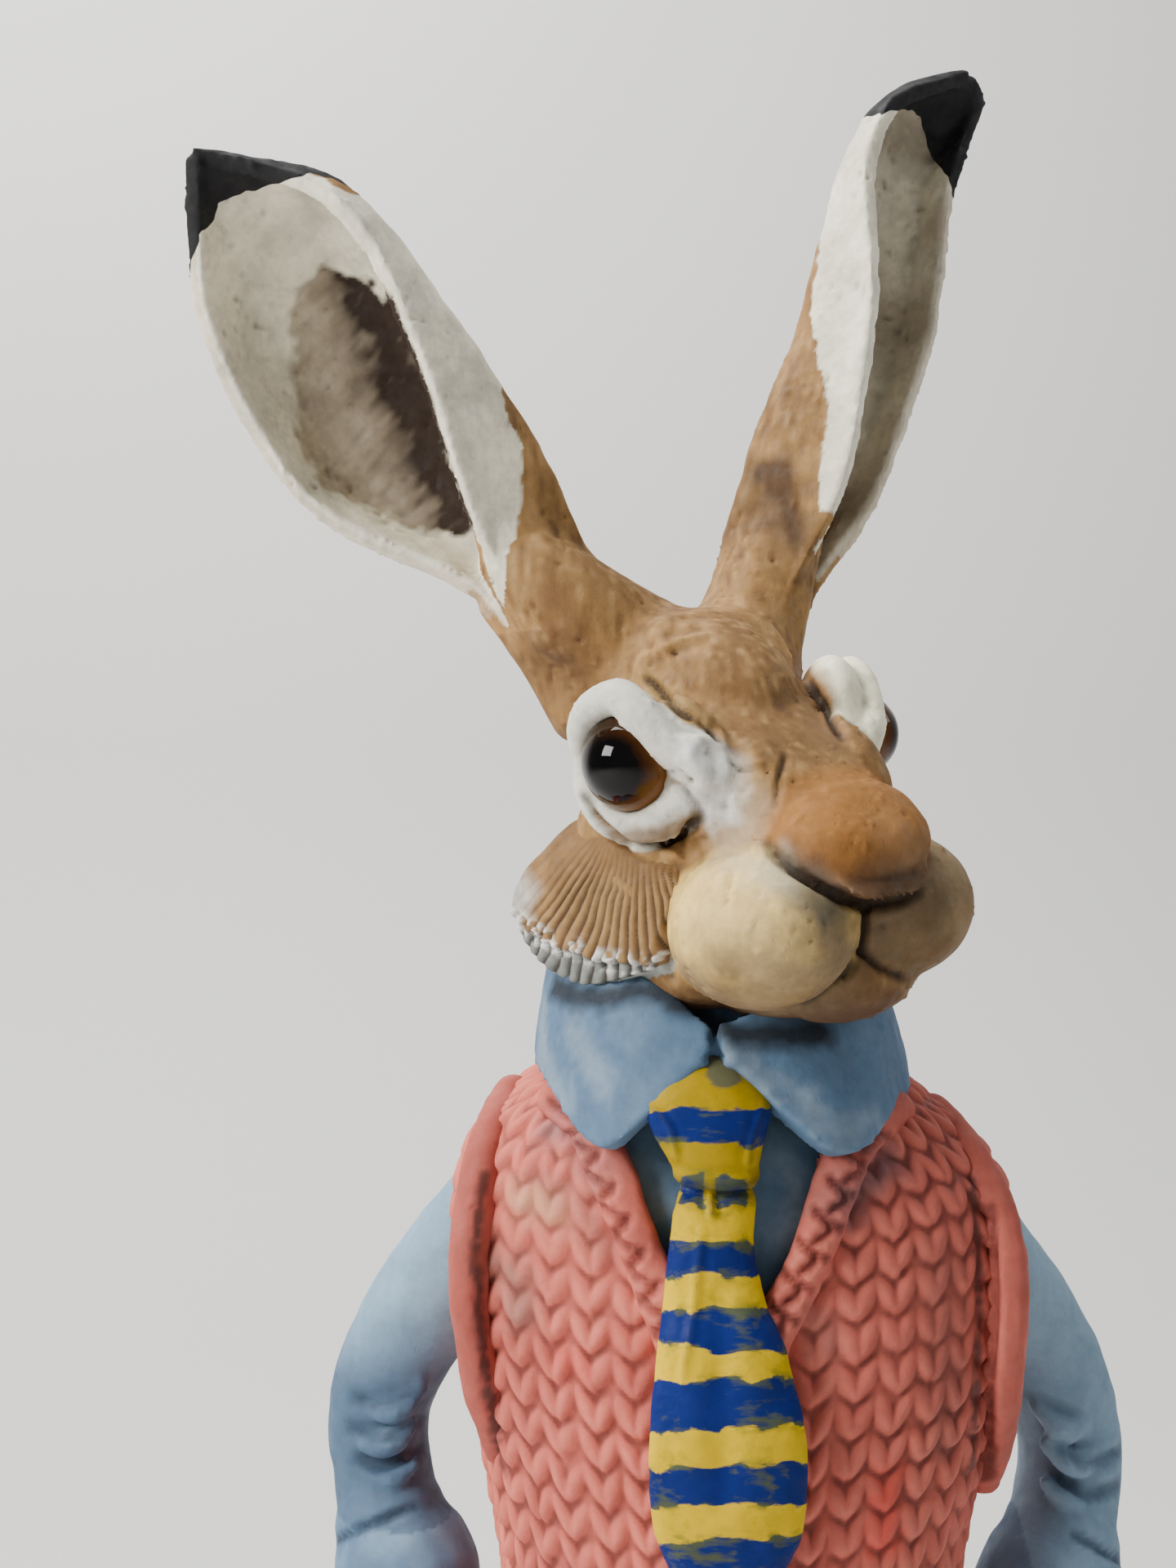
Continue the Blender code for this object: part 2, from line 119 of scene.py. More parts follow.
def loft(rings, place=UPRIGHT):
    """A closed lump over rings of points."""
    rings = np.array([[tuple(p) for p in ring] for ring in rings], float)
    levels, count = rings.shape[:2]
    faces = []
    for row in range(levels - 1):
        for i in range(count):
            j = (i + 1) % count
            faces.append((row * count + i, row * count + j, (row + 1) * count + j, (row + 1) * count + i))
    faces.append(tuple(range(count))[::-1])
    faces.append(tuple(range((levels - 1) * count, levels * count)))
    return moved(rings.reshape(-1, 3), place), faces


def ball(centre, radii, turn=(0, 0, 0), place=UPRIGHT, fullness=2.0):
    """A ball; fullness above 2 makes it squarer."""
    spin = Matrix.Identity(4)
    for degrees, axis in zip(turn, "XYZ"):
        spin = Matrix.Rotation(math.radians(degrees), 4, axis) @ spin
    rings = []
    for k in range(1, 24):
        rise = math.pi * (k / 24 - 0.5)
        flat = math.cos(rise)
        angles = [2 * math.pi * i / 40 for i in range(40)]
        rings.append([(flat * math.cos(a), flat * math.sin(a), math.sin(rise)) for a in angles])
    rings = np.array(rings)
    rings *= (np.abs(rings) ** fullness).sum(axis=2, keepdims=True) ** (-1 / fullness)
    return loft(rings, place @ Matrix.Translation(centre) @ spin @ Matrix.Diagonal((*radii, 1)))


def roll(path, place=UPRIGHT, steps=5, around=20):
    """A round roll of clay through (x, y, z, radius) points, with round ends."""
    line = np.array([tuple(p) for p in through(path, steps)])
    points, radii = line[:, :3], line[:, 3]
    ahead = np.gradient(points, axis=0)
    ahead /= np.linalg.norm(ahead, axis=1, keepdims=True)
    rows = []
    for k in (80, 60, 35, 15):
        lean = math.radians(k)
        rows.append((points[0] - ahead[0] * radii[0] * math.sin(lean), radii[0] * math.cos(lean), ahead[0]))
    rows += list(zip(points, radii, ahead))
    for k in (15, 35, 60, 80):
        lean = math.radians(k)
        end = points[-1] + ahead[-1] * radii[-1] * math.sin(lean)
        rows.append((end, radii[-1] * math.cos(lean), ahead[-1]))
    side = np.cross(ahead[0], (0.31, 0.52, 0.79))
    angles = np.linspace(0, 2 * math.pi, around, endpoint=False)[:, None]
    rings = []
    for point, radius, way in rows:
        side = side - way * (side @ way)
        side /= np.linalg.norm(side)
        rings.append(point + radius * (np.cos(angles) * side + np.sin(angles) * np.cross(way, side)))
    return loft(rings, place)


def sheet(rows, wall):
    """A rolled-out sheet over a grid of points, as thick as wall on its inner side."""
    grid = np.array([[tuple(p) for p in row] for row in rows], float)
    normals = np.cross(np.gradient(grid, axis=1), np.gradient(grid, axis=0))
    normals /= np.linalg.norm(normals, axis=2, keepdims=True)
    tall, wide = grid.shape[:2]
    points = np.concatenate((grid.reshape(-1, 3), (grid - normals * wall).reshape(-1, 3)))
    faces = []
    under = tall * wide
    for r in range(tall - 1):
        for c in range(wide - 1):
            a, b, d, e = r * wide + c, r * wide + c + 1, (r + 1) * wide + c + 1, (r + 1) * wide + c
            faces += [(a, b, d, e), (under + e, under + d, under + b, under + a)]
    border = [c for c in range(wide)] + [r * wide + wide - 1 for r in range(1, tall)]
    border += [(tall - 1) * wide + c for c in range(wide - 2, -1, -1)]
    border += [r * wide for r in range(tall - 2, 0, -1)]
    for a, b in zip(border, border[1:] + border[:1]):
        faces.append((b, a, under + a, under + b))
    return points, faces


def oval(z, half_width, front, back, middle=0.0, count=56, fullness=2.3):
    """A level ring with its front at y = front and its back at y = back."""
    ring = []
    for i in range(count):
        angle = 2 * math.pi * i / count
        side, ahead = math.sin(angle), -math.cos(angle)
        reach = (abs(side) ** fullness + abs(ahead) ** fullness) ** (-1 / fullness)
        depth = -front if ahead < 0 else back
        ring.append((middle + half_width * side * reach, depth * ahead * reach, z))
    return ring


# %% [markdown]
# # One skin of clay
# Pressed together, the lumps become one skin. A voxel remesh does the same: it wraps everything in
# an even net of small squares, and a little smoothing is the damp sponge. The net is kept as arrays,
# so that tools and brushes can be small pieces of numpy.

# %% Press the forms together


class Clay:
    """A skin of clay in millimetres, with a normal and a colour at each point."""

    def __init__(self, points, faces, colour):
        self.points = np.asarray(points, float)
        self.faces = np.asarray(faces)
        self.paint = np.tile(np.array(colour, float), (len(points), 1))
        self.marks = {}
        pairs = np.concatenate([self.faces[:, [k, (k + 1) % 4]] for k in range(4)])
        self.edges = np.unique(np.sort(pairs, axis=1), axis=0)
        self.tree = None
        self.refresh()

    def refresh(self):
        corner = self.points[self.faces]
        across = np.cross(corner[:, 2] - corner[:, 0], corner[:, 3] - corner[:, 1])
        total = np.zeros_like(self.points)
        for axis in range(3):
            for k in range(4):
                total[:, axis] += np.bincount(self.faces[:, k], across[:, axis], len(self.points))
        self.normals = total / np.maximum(np.linalg.norm(total, axis=1, keepdims=True), 1e-9)

    def evened(self, values, times):
        """Each point's value averaged with its neighbours', this many times."""
        values = np.array(values, float).reshape(len(self.points), -1)
        a, b = self.edges.T
        degree = np.bincount(self.edges.ravel(), minlength=len(self.points))[:, None]
        for _ in range(times):
            total = values.copy()
            for axis in range(values.shape[1]):
                total[:, axis] += np.bincount(a, values[b, axis], len(values))
                total[:, axis] += np.bincount(b, values[a, axis], len(values))
            values = total / (degree + 1)
        return values

    def push(self, amount):
        self.points += self.normals * np.asarray(amount)[:, None]

    def ready(self):
        self.refresh()
        self.tree = BVHTree.FromPolygons(self.points.tolist(), self.faces.tolist())


def wrapped(rings, colour):
    """A clay skin over closed rings of points, one ring above the other."""
    rings = np.array(rings)
    tall, count = rings.shape[:2]
    i = np.arange(count)
    j = (i + 1) % count
    corners = (i, j, j + count, i + count)
    faces = [np.stack([r * count + corner for corner in corners], 1) for r in range(tall - 1)]
    return Clay(rings.reshape(-1, 3), np.concatenate(faces), colour)


def pressed_together(forms, voxel, smoothing, colour):
    points, faces = [], []
    for form_points, form_faces in forms:
        start = len(points)
        points.extend(form_points.tolist())
        faces.extend([tuple(start + i for i in face) for face in form_faces])
    mesh = bpy.data.meshes.new("lump")
    mesh.from_pydata(points, [], faces)
    lump = bpy.data.objects.new("lump", mesh)
    bpy.context.scene.collection.objects.link(lump)
    net = lump.modifiers.new("net", "REMESH")
    net.mode = "VOXEL"
    net.voxel_size = voxel
    sponge = lump.modifiers.new("sponge", "SMOOTH")
    sponge.factor = 0.5
    sponge.iterations = smoothing
    bpy.context.view_layer.update()
    skin = bpy.data.meshes.new_from_object(lump.evaluated_get(bpy.context.evaluated_depsgraph_get()))
    bpy.data.objects.remove(lump)
    found = np.empty(len(skin.vertices) * 3)
    skin.vertices.foreach_get("co", found)
    corners = np.empty(len(skin.loops), int)
    skin.loops.foreach_get("vertex_index", corners)
    clay = Clay(found.reshape(-1, 3), corners.reshape(-1, 4), colour)
    bpy.data.meshes.remove(skin)
    clay.ready()
    return clay


# %% [markdown]
# # Fingers, tools and brushes
# `uneven` is the small waviness that fingers leave. `mark` presses a groove along a line, or raises
# a ridge. `daub` lays paint along a line with a ragged edge. Lines are given as they are seen from
# the front, by pixel, and `seen` drops them on to the clay, so that they lie on it from any side.

# %% Unevenness, grooves and daubs
VIEWPOINT = Vector((-36.3, -420, 442))
PIXELS = 2000
MIDDLE_PIXEL = (720, 960)


def uneven(points, size, seed=0):
    """Smooth random lumps about size apart, from -1 to 1."""
    table = np.random.default_rng(seed).uniform(-1, 1, (32, 32, 32))
    place = np.asarray(points) / size + 64
    low = np.floor(place).astype(int)
    part = place - low
    part = part * part * (3 - 2 * part)
    total = np.zeros(len(place))
    for corner in range(8):
        bits = np.array([corner & 1, corner >> 1 & 1, corner >> 2 & 1])
        weight = np.where(bits, part, 1 - part).prod(axis=1)
        x, y, z = ((low + bits) % 32).T
        total += weight * table[x, y, z]
    return total


def seen(clay, pixels, steps=4):
    """Where a line of pixels falls on the clay, as seen from the front."""
    found = []
    for spot in through([(*p, 0) for p in pixels], steps):
        right, down = spot.x - MIDDLE_PIXEL[0], spot.y - MIDDLE_PIXEL[1]
        way = Vector((right / PIXELS, 1, -down / PIXELS)).normalized()
        hit = clay.tree.ray_cast(VIEWPOINT, way)[0]
        if hit is not None:
            found.append(tuple(hit))
    return np.array(found)


def away(points, line, reach):
    """Distance of every point from a line, and its share of the way along it."""
    distance = np.full(len(points), 1e6)
    along = np.zeros(len(points))
    line = np.asarray(line, float)
    if len(line) == 1:
        line = np.concatenate((line, line + 0.01))
    near = ((points > line.min(axis=0) - reach) & (points < line.max(axis=0) + reach)).all(axis=1)
    chosen = np.flatnonzero(near)
    part = points[chosen]
    best = np.full(len(part), 1e6)
    share = np.zeros(len(part))
    for i, (start, end) in enumerate(zip(line, line[1:])):
        step = end - start
        t = np.clip((part - start) @ step / max(step @ step, 1e-9), 0, 1)
        gap = np.linalg.norm(part - start - t[:, None] * step, axis=1)
        closer = gap < best
        best[closer] = gap[closer]
        share[closer] = (i + t[closer]) / (len(line) - 1)
    distance[chosen] = best
    along[chosen] = share
    return distance, along


def mark(clay, line, width, depth, lip=0.25):
    """Press a groove that fades at both ends; a depth below zero raises a ridge."""
    if len(line) == 0:
        return
    distance, along = away(clay.points, line, width * 4)
    fade = np.clip(5 * np.minimum(along, 1 - along) + 0.3, 0, 1)
    groove = np.exp(-((distance / width) ** 2)) - lip * np.exp(-(((distance - 2 * width) / width) ** 2))
    clay.push(-depth * fade * groove)


def laid(clay, colour, weight):
    clay.paint += (np.array(colour) - clay.paint) * np.clip(weight, 0, 1)[:, None]


def daub(clay, line, radius, colour, strength=1.0, soft=0.6, ragged=0.3, seed=0):
    if len(line) == 0:
        return
    distance, _ = away(clay.points, line, radius * 2)
    edge = radius * (1 + ragged * uneven(clay.points, max(radius * 0.7, 1.5), seed))
    laid(clay, colour, strength * np.clip((edge - distance) / (soft * radius) + 0.5, 0, 1))


def gap_to(clay, forms, reach):
    """How far each point of the clay is from some of the forms it was pressed from."""
    gap = np.full(len(clay.points), reach + 1.0)
    for points, faces in forms:
        tree = BVHTree.FromPolygons(points.tolist(), faces)
        above = clay.points > points.min(axis=0) - reach
        below = clay.points < points.max(axis=0) + reach
        for i in np.flatnonzero((above & below).all(axis=1)):
            found = tree.find_nearest(clay.points[i], reach)[3]
            if found is not None and found < gap[i]:
                gap[i] = found
    return gap


def hollows(clay, spread=5, gain=1.0):
    """Mark how deep each point lies in a crease, so that the material can darken it with a dark wash and
    painted shade.
    """
    raised = ((clay.evened(clay.points, spread) - clay.points) * clay.normals).sum(axis=1)
    clay.marks["hollow"] = np.clip(clay.evened(raised * gain, 1)[:, 0], -1, 1)


# %% [markdown]
# # From clay to a finished piece
# Each skin becomes a mesh object in metres. The paint goes with it as a colour at every point, and
# the marks as plain numbers, so that a material can read them and add finer grain of its own.

# %% Hand a skin over to Blender


def finished(name, clay, look, keep=None, node="hare_figure"):
    faces = clay.faces if keep is None else clay.faces[keep]
    used = np.unique(faces)
    order = np.full(len(clay.points), -1)
    order[used] = np.arange(len(used))
    mesh = bpy.data.meshes.new(name)
    mesh.vertices.add(len(used))
    mesh.vertices.foreach_set("co", to_metres(clay.points[used]).ravel())
    mesh.loops.add(faces.size)
    mesh.loops.foreach_set("vertex_index", order[faces].ravel())
    mesh.polygons.add(len(faces))
    mesh.polygons.foreach_set("loop_start", np.arange(len(faces)) * 4)
    mesh.update(calc_edges=True)
    mesh.validate()
    mesh.shade_smooth()
    colour = mesh.color_attributes.new("paint", "FLOAT_COLOR", "POINT")
    rgba = np.ones((len(used), 4))
    rgba[:, :3] = np.clip(clay.paint[used], 0, 1)
    colour.data.foreach_set("color", rgba.ravel())
    for title, values in clay.marks.items():
        layer = mesh.attributes.new(title, "FLOAT", "POINT")
        layer.data.foreach_set("value", values[used])
    if keep is not None:
        mesh.normals_split_custom_set_from_vertices(clay.normals[used].tolist())
    mesh.materials.append(look)
    obj = bpy.data.objects.new(name, mesh)
    bpy.context.scene.collection.objects.link(obj)
    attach(obj, "root")
    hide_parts(node)
    print(name, len(faces) * 2, "triangles")
    return obj


# %% [markdown]
# # Matt paint on clay
# The paint is thin and matt, so the clay's grain shows through it. The material multiplies the brush
# colours by fine mottling, darkens the hollows with a dark wash and painted shade, makes the ridges a
# little lighter with rubbed paint and a painted highlight, and bumps the surface with grain, pores and
# drag marks. The grain and the paint with its painted shade are node groups, because every painted
# part of the figure uses them with its own values.

# %% Node helpers


def node(tree, kind, **settings):
    made = tree.nodes.new(kind)
    for key, value in settings.items():
        setattr(made, key, value)
    return made


def sum_of(tree, kind, a, b):
    made = node(tree, "ShaderNodeMath", operation=kind)
    for socket, value in zip(made.inputs, (a, b)):
        if isinstance(value, (int, float)):
            socket.default_value = value
        else:
            tree.links.new(value, socket)
    return made.outputs[0]


def new_group(title, inputs, outputs):
    group = bpy.data.node_groups.new(title, "ShaderNodeTree")
    for name, kind, value in inputs:
        socket = group.interface.new_socket(name, in_out="INPUT", socket_type="NodeSocket" + kind)
        if value is not None:
            socket.default_value = value
    for name, kind in outputs:
        group.interface.new_socket(name, in_out="OUTPUT", socket_type="NodeSocket" + kind)
    return group, group.nodes.new("NodeGroupInput"), group.nodes.new("NodeGroupOutput")


def noise(tree, place, scale, detail=3.0, rough=0.55, stretch=None):
    if stretch is not None:
        spread = node(tree, "ShaderNodeMapping")
        spread.inputs["Scale"].default_value = stretch
        tree.links.new(place, spread.inputs["Vector"])
        place = spread.outputs[0]
    made = node(tree, "ShaderNodeTexNoise")
    made.inputs["Scale"].default_value = scale
    made.inputs["Detail"].default_value = detail
    made.inputs["Roughness"].default_value = rough
    tree.links.new(place, made.inputs["Vector"])
    return made.outputs["Fac"]


def between(tree, value, low, high, to_low=0.0, to_high=1.0):
    made = node(tree, "ShaderNodeMapRange")
    made.clamp = True
    for name, number in (("From Min", low), ("From Max", high), ("To Min", to_low), ("To Max", to_high)):
        made.inputs[name].default_value = number
    tree.links.new(value, made.inputs["Value"])
    return made.outputs["Result"]


def mixed(tree, kind, factor, a, b):
    made = node(tree, "ShaderNodeMix", data_type="RGBA", blend_type=kind)
    sockets = (made.inputs[0], made.inputs[6], made.inputs[7])
    for socket, value in zip(sockets, (factor, a, b)):
        if isinstance(value, (int, float)):
            socket.default_value = value
        elif isinstance(value, tuple):
            socket.default_value = (*value, 1)
        else:
            tree.links.new(value, socket)
    return made.outputs[2]


# %% The grain, and the paint with its painted shade


def clay_grain():
    """Height of the clay's own texture, in millimetres: grain, pores, and drag marks of a damp finger."""
    tree, entry, way_out = new_group(
        "clay_grain",
        [
            ("Grain", "Float", 0.05),
            ("Pores", "Float", 0.1),
            ("Drag", "Float", 0.1),
            ("Stretch", "Vector", (1, 1, 0.2)),
        ],
        [("Height", "Float")],
    )
    place = node(tree, "ShaderNodeTexCoord").outputs["Object"]
    fine = noise(tree, place, 1500, 4)
    cells = node(tree, "ShaderNodeTexVoronoi")
    cells.inputs["Scale"].default_value = 420
    tree.links.new(place, cells.inputs["Vector"])
    thin = between(tree, noise(tree, place, 190, 2), 0.5, 0.62)
    pits = sum_of(tree, "MULTIPLY", between(tree, cells.outputs["Distance"], 0.0, 0.28, -1, 0), thin)
    spread = node(tree, "ShaderNodeVectorMath", operation="MULTIPLY")
    tree.links.new(place, spread.inputs[0])
    tree.links.new(entry.outputs["Stretch"], spread.inputs[1])
    drag = noise(tree, spread.outputs[0], 620, 3, 0.6)
    total = sum_of(tree, "MULTIPLY", fine, entry.outputs["Grain"])
    total = sum_of(tree, "ADD", total, sum_of(tree, "MULTIPLY", pits, entry.outputs["Pores"]))
    total = sum_of(tree, "ADD", total, sum_of(tree, "MULTIPLY", drag, entry.outputs["Drag"]))
    tree.links.new(total, way_out.inputs["Height"])
    return tree


def thin_paint_and_shade():
    """Mottle a colour, darken its hollows with a dark wash and painted shade, and lighten its ridges with
    rubbed paint and a painted highlight.
    """
    tree, entry, way_out = new_group(
        "thin_paint_and_shade",
        [
            ("Colour", "Color", (0.5, 0.5, 0.5, 1)),
            ("Mottle", "Float", 0.3),
            ("Wash and shade", "Float", 0.6),
            ("Wash and shade colour", "Color", (0.05, 0.03, 0.02, 1)),
            ("Rubbed and highlit", "Float", 0.15),
        ],
        [("Colour", "Color")],
    )
    place = node(tree, "ShaderNodeTexCoord").outputs["Object"]
    broad = noise(tree, place, 70, 4, 0.6)
    small = noise(tree, place, 420, 3, 0.6)
    cloud = sum_of(tree, "ADD", sum_of(tree, "MULTIPLY", broad, 0.6), sum_of(tree, "MULTIPLY", small, 0.4))
    shade = between(tree, cloud, 0.36, 0.64, -1, 1)
    level = sum_of(tree, "ADD", 1.0, sum_of(tree, "MULTIPLY", shade, entry.outputs["Mottle"]))
    grey = node(tree, "ShaderNodeCombineColor")
    for socket in grey.inputs[:3]:
        tree.links.new(level, socket)
    colour = mixed(tree, "MULTIPLY", 1.0, entry.outputs["Colour"], grey.outputs[0])
    # Painted shade: the hollows take a dark wash that also stands for the shade falling in them.
    hollow = node(tree, "ShaderNodeAttribute", attribute_name="hollow").outputs["Fac"]
    speckle = between(tree, small, 0.3, 0.7, -1, 1)
    broken = sum_of(tree, "ADD", hollow, sum_of(tree, "MULTIPLY", speckle, 0.06))
    deep = sum_of(tree, "MULTIPLY", between(tree, broken, 0.04, 0.45), entry.outputs["Wash and shade"])
    colour = mixed(tree, "MIX", deep, colour, entry.outputs["Wash and shade colour"])
    # Painted highlight: ridges are made lighter, partly rubbed paint and partly a painted highlight.
    high = sum_of(tree, "MULTIPLY", between(tree, broken, -0.05, -0.35), entry.outputs["Rubbed and highlit"])
    colour = mixed(tree, "SCREEN", high, colour, colour)
    tree.links.new(colour, way_out.inputs["Colour"])
    return tree


CLAY_GRAIN = clay_grain()
THIN_PAINT_AND_SHADE = thin_paint_and_shade()


# wash sets how strongly the hollows take the dark wash and painted shade.
def painted(name, mottle=0.25, wash=0.6, wash_and_shade_colour=(0.05, 0.03, 0.02), rubbed_and_highlit=0.15, grain=0.05, pores=0.1,
            drag=0.08, stretch=(1, 1, 0.2), rough=(0.6, 0.85), bump=1.0):
    look = bpy.data.materials.new(name)
    look.use_nodes = True
    tree = look.node_tree
    shader = tree.nodes["Principled BSDF"]
    shader.inputs["IOR"].default_value = 1.45
    shader.inputs["Specular IOR Level"].default_value = 0.35
    brushed = node(tree, "ShaderNodeAttribute", attribute_name="paint").outputs["Color"]
    thin = node(tree, "ShaderNodeGroup", node_tree=THIN_PAINT_AND_SHADE, name="thin_paint_and_shade")
    tree.links.new(brushed, thin.inputs["Colour"])
    thin.inputs["Mottle"].default_value = mottle
    thin.inputs["Wash and shade"].default_value = wash
    thin.inputs["Wash and shade colour"].default_value = (*wash_and_shade_colour, 1)
    thin.inputs["Rubbed and highlit"].default_value = rubbed_and_highlit
    tree.links.new(thin.outputs["Colour"], shader.inputs["Base Color"])
    texture = node(tree, "ShaderNodeGroup", node_tree=CLAY_GRAIN, name="clay_grain")
    texture.inputs["Grain"].default_value = grain
    texture.inputs["Pores"].default_value = pores
    texture.inputs["Drag"].default_value = drag
    texture.inputs["Stretch"].default_value = stretch
    lift = node(tree, "ShaderNodeBump")
    lift.inputs["Strength"].default_value = bump
    lift.inputs["Distance"].default_value = 0.001
    tree.links.new(texture.outputs["Height"], lift.inputs["Height"])
    tree.links.new(lift.outputs["Normal"], shader.inputs["Normal"])
    place = node(tree, "ShaderNodeTexCoord").outputs["Object"]
    sheen = between(tree, noise(tree, place, 260, 3), 0.35, 0.65, *rough)
    tree.links.new(sheen, shader.inputs["Roughness"])
    return look


# %% [markdown]
# # The head
# The head is built about a point midway between the eyes, then turned to the hare's left and tipped
# over a little. A skull, cheeks, a square bridge, a nose, two plump lip pads and a chin are pressed
# together. Rolls of clay make the lids. All of it is one skin with the ears, because on the real
# figure they are one lump.

# %% Where the head and the eyes are
HEAD_PLACE = (
    Matrix.Translation((2, -22.4, 451))
    @ Matrix.Rotation(math.radians(32), 4, "Z")
    @ Matrix.Rotation(math.radians(-6.4), 4, "Y")
)
EYE_SIDE = 33.2
EYE_LOOK = math.radians(62)
EYE_DROP = math.radians(6)
EYE_RADIUS = 12.0


def eye_frame(side):
    """Middle of the eye, with local Z looking out of it and local Y up."""
    across = side * EYE_LOOK
    level = math.cos(EYE_DROP)
    look = Vector((math.sin(across) * level, -math.cos(across) * level, -math.sin(EYE_DROP)))
    right = Vector((0, 0, 1)).cross(look).normalized()
    turned = Matrix((right, look.cross(right), look)).transposed().to_4x4()
    return HEAD_PLACE @ Matrix.Translation((side * EYE_SIDE, 0, 0)) @ turned


# %% Skull, bridge, nose, lip pads and chin


def on_head(centre, radii, turn=(0, 0, 0), fullness=2.0):
    return ball(centre, radii, turn, HEAD_PLACE, fullness)


skull = [
    on_head((-2, 18, 5), (25, 33, 29)),
    on_head((0, 22, -16), (28, 28, 32)),
    on_head((0, 6, -30), (32, 30, 26)),
]
bridge_rows = (
    # back, up, middle, half width, half depth
    (20, 36, 0, 18, 9),
    (9, 34, 0, 19, 9),
    (3, 28, -1, 17, 9.5),
    (-2, 22, -2.5, 16.5, 9.5),
    (-8, 16, -3, 15.5, 9.5),
    (-17, 9, -3.5, 14.5, 10),
    (-26, 1.5, -2.5, 14.5, 11),
    (-34, -6, -1, 14.5, 12),
    (-39, -11, 0, 14, 12),
)
rings = []
for back, up, middle, half_width, deep in through(bridge_rows, 3):
    ring = []
    for i in range(36):
        angle = 2 * math.pi * i / 36
        across, rise = math.cos(angle), math.sin(angle)
        reach = (abs(across) ** 3 + abs(rise) ** 3) ** (-1 / 3)
        level = rise * reach * deep
        ring.append((middle + half_width * across * reach, back + level * 0.62 - 4, up - deep + level))
    rings.append(ring)
bridge = loft(rings, HEAD_PLACE)
nose = on_head((0, -35.5, -21.5), (19.5, 14, 11.5), (43, 0, 0), 2.4)
lip_pads = [on_head((-19, -25, -39.5), (22, 21, 18.5)), on_head((15.5, -27, -39.5), (22, 20, 18))]
chin = [on_head((0, -12, -48), (26, 26, 17)), on_head((3, -24, -53), (20, 17, 12))]
chin.append(on_head((-17, 0, -48), (17, 18, 13)))

# %% Cheeks, and the scallop of fur that stands out over the collar
RUFF_INNER = ((25, 25, -11), (32, 10, -17), (32, -3, -20), (29, -10, -23), (27, -13, -29))
RUFF_RIM = ((30, 27, -14), (42, 43, -31), (42, 44, -45), (41, 21, -54), (34, -7, -48))


def ruff_rows(side, across, down, lift=0.0):
    rows = []
    inner, rim = through(RUFF_INNER, across), through(RUFF_RIM, across)
    for k in range(down + 1):
        share = k / down
        row = []
        for near, far in zip(inner, rim):
            point = near.lerp(far, share) + Vector((lift + 1.5 * math.sin(math.pi * share), 0, 0))
            row.append(HEAD_PLACE @ Vector((side * point.x, point.y, point.z)))
        rows.append(row if side > 0 else row[::-1])
    return rows


cheeks = []
ruff_sheets = []
for side in (1, -1):
    cheeks.append(on_head((side * 14, -14, -13), (12, 17, 18)))
    cheeks.append(on_head((side * 28, 19, -17), (8, 11, 9)))
    cheeks.append(on_head((side * 25, 10, -33), (13, 22, 17)))
    cheeks.append(on_head((side * 22, 24, -34), (17, 18, 18)))
    ruff_sheets.append(sheet(ruff_rows(side, 4, 5), 8))

# %% Lids: rolls of clay round each eye
UPPER_LID = (
    # towards the nose, up, out of the eye, how thick
    (-12.8, 4, 0.5, 2.8),
    (-11.6, 9, 1.5, 3.3),
    (-7.4, 13.4, 2.5, 3.9),
    (0.1, 15.6, 3, 4.3),
    (4.8, 12.6, 4, 4.7),
    (8.6, 8.2, 4.4, 4.9),
    (12.3, 3.8, 3.8, 5.1),
    (16.5, 0.6, 2.6, 5.4),
    (21, -4.4, 0.2, 4.8),
)
LOWER_LID = (
    (-12.7, 2, 0, 2.5),
    (-12.4, -6, 1, 3),
    (-7.4, -12.6, 2, 3.8),
    (0.8, -15.2, 2.6, 4.6),
    (8, -13, 2.6, 4.9),
    (13.8, -10, 1.6, 4.8),
    (19, -7.4, 0, 4.4),
)
lids = {}
for side in (1, -1):
    place = eye_frame(side)
    sunk = 3 if side > 0 else 0
    rolls = []
    for row in (UPPER_LID, LOWER_LID):
        rolls.append(roll([(-side * x, y, z - sunk, thick) for x, y, z, thick in row], place))
    fillers = [ball((-side * 3, 0, -6), (11, 14, 9), place=place)]
    fillers.append(ball((-side * 12, 0, -3 - sunk), (10, 14, 7), place=place))
    lids[side] = rolls + fillers
far_lump = ball((-9, 6, -7), (12, 14, 8), place=eye_frame(1))
lids[1].append(far_lump)

# %% [markdown]
# # The ears
# Each ear is a rolled-out sheet, cupped by hand: its skin is followed from the outer rim round the
# back to the folded lip in front, at ten levels from root to tip. The rows below give where the rim,
# the fold and the lip are at each level.

# %% Both ears
RIGHT_EAR = (
    # distance back, then across and up for the outer rim, the inner fold and the lip
    (-9, -49, 472, -26, 491, -47, 478),
    (-11, -60, 485, -37, 502, -54, 489),
    (-14, -75, 494, -44, 518, -62, 502),
    (-17, -94, 502, -53, 534, -68, 519),
    (-20, -109, 512, -63, 549, -73, 537),
    (-23, -120, 527, -73, 563, -79, 553),
    (-26, -128, 543, -83, 576, -86, 569),
    (-29, -133, 559, -96, 587, -97, 582),
    (-31, -133, 574, -111, 591, -111, 588),
    (-34, -132, 590, -129, 593, -130, 592),
)
LEFT_EAR = (
    (8, 20, 479, -4, 494, 14, 488),
    (10, 27, 495, -1, 504, 17, 495),
    (13, 39, 511, 4, 522, 25, 510),
    (15, 48, 528, 9, 538, 31, 526),
    (18, 56, 550, 18, 560, 35, 549),
    (21, 62, 570, 24, 580, 38, 570),
    (23, 65, 592, 29, 600, 37, 591),
    (25, 67, 608, 34, 615, 37, 608),
    (28, 73, 625, 45, 631, 45, 626),
    (29, 75, 633, 58, 637, 59, 633),
    (30, 71, 638, 68, 639, 69, 638),
)
RIGHT_EAR_DEPTHS = (0.16, 0.42, 0.4, 0.06, -0.14)
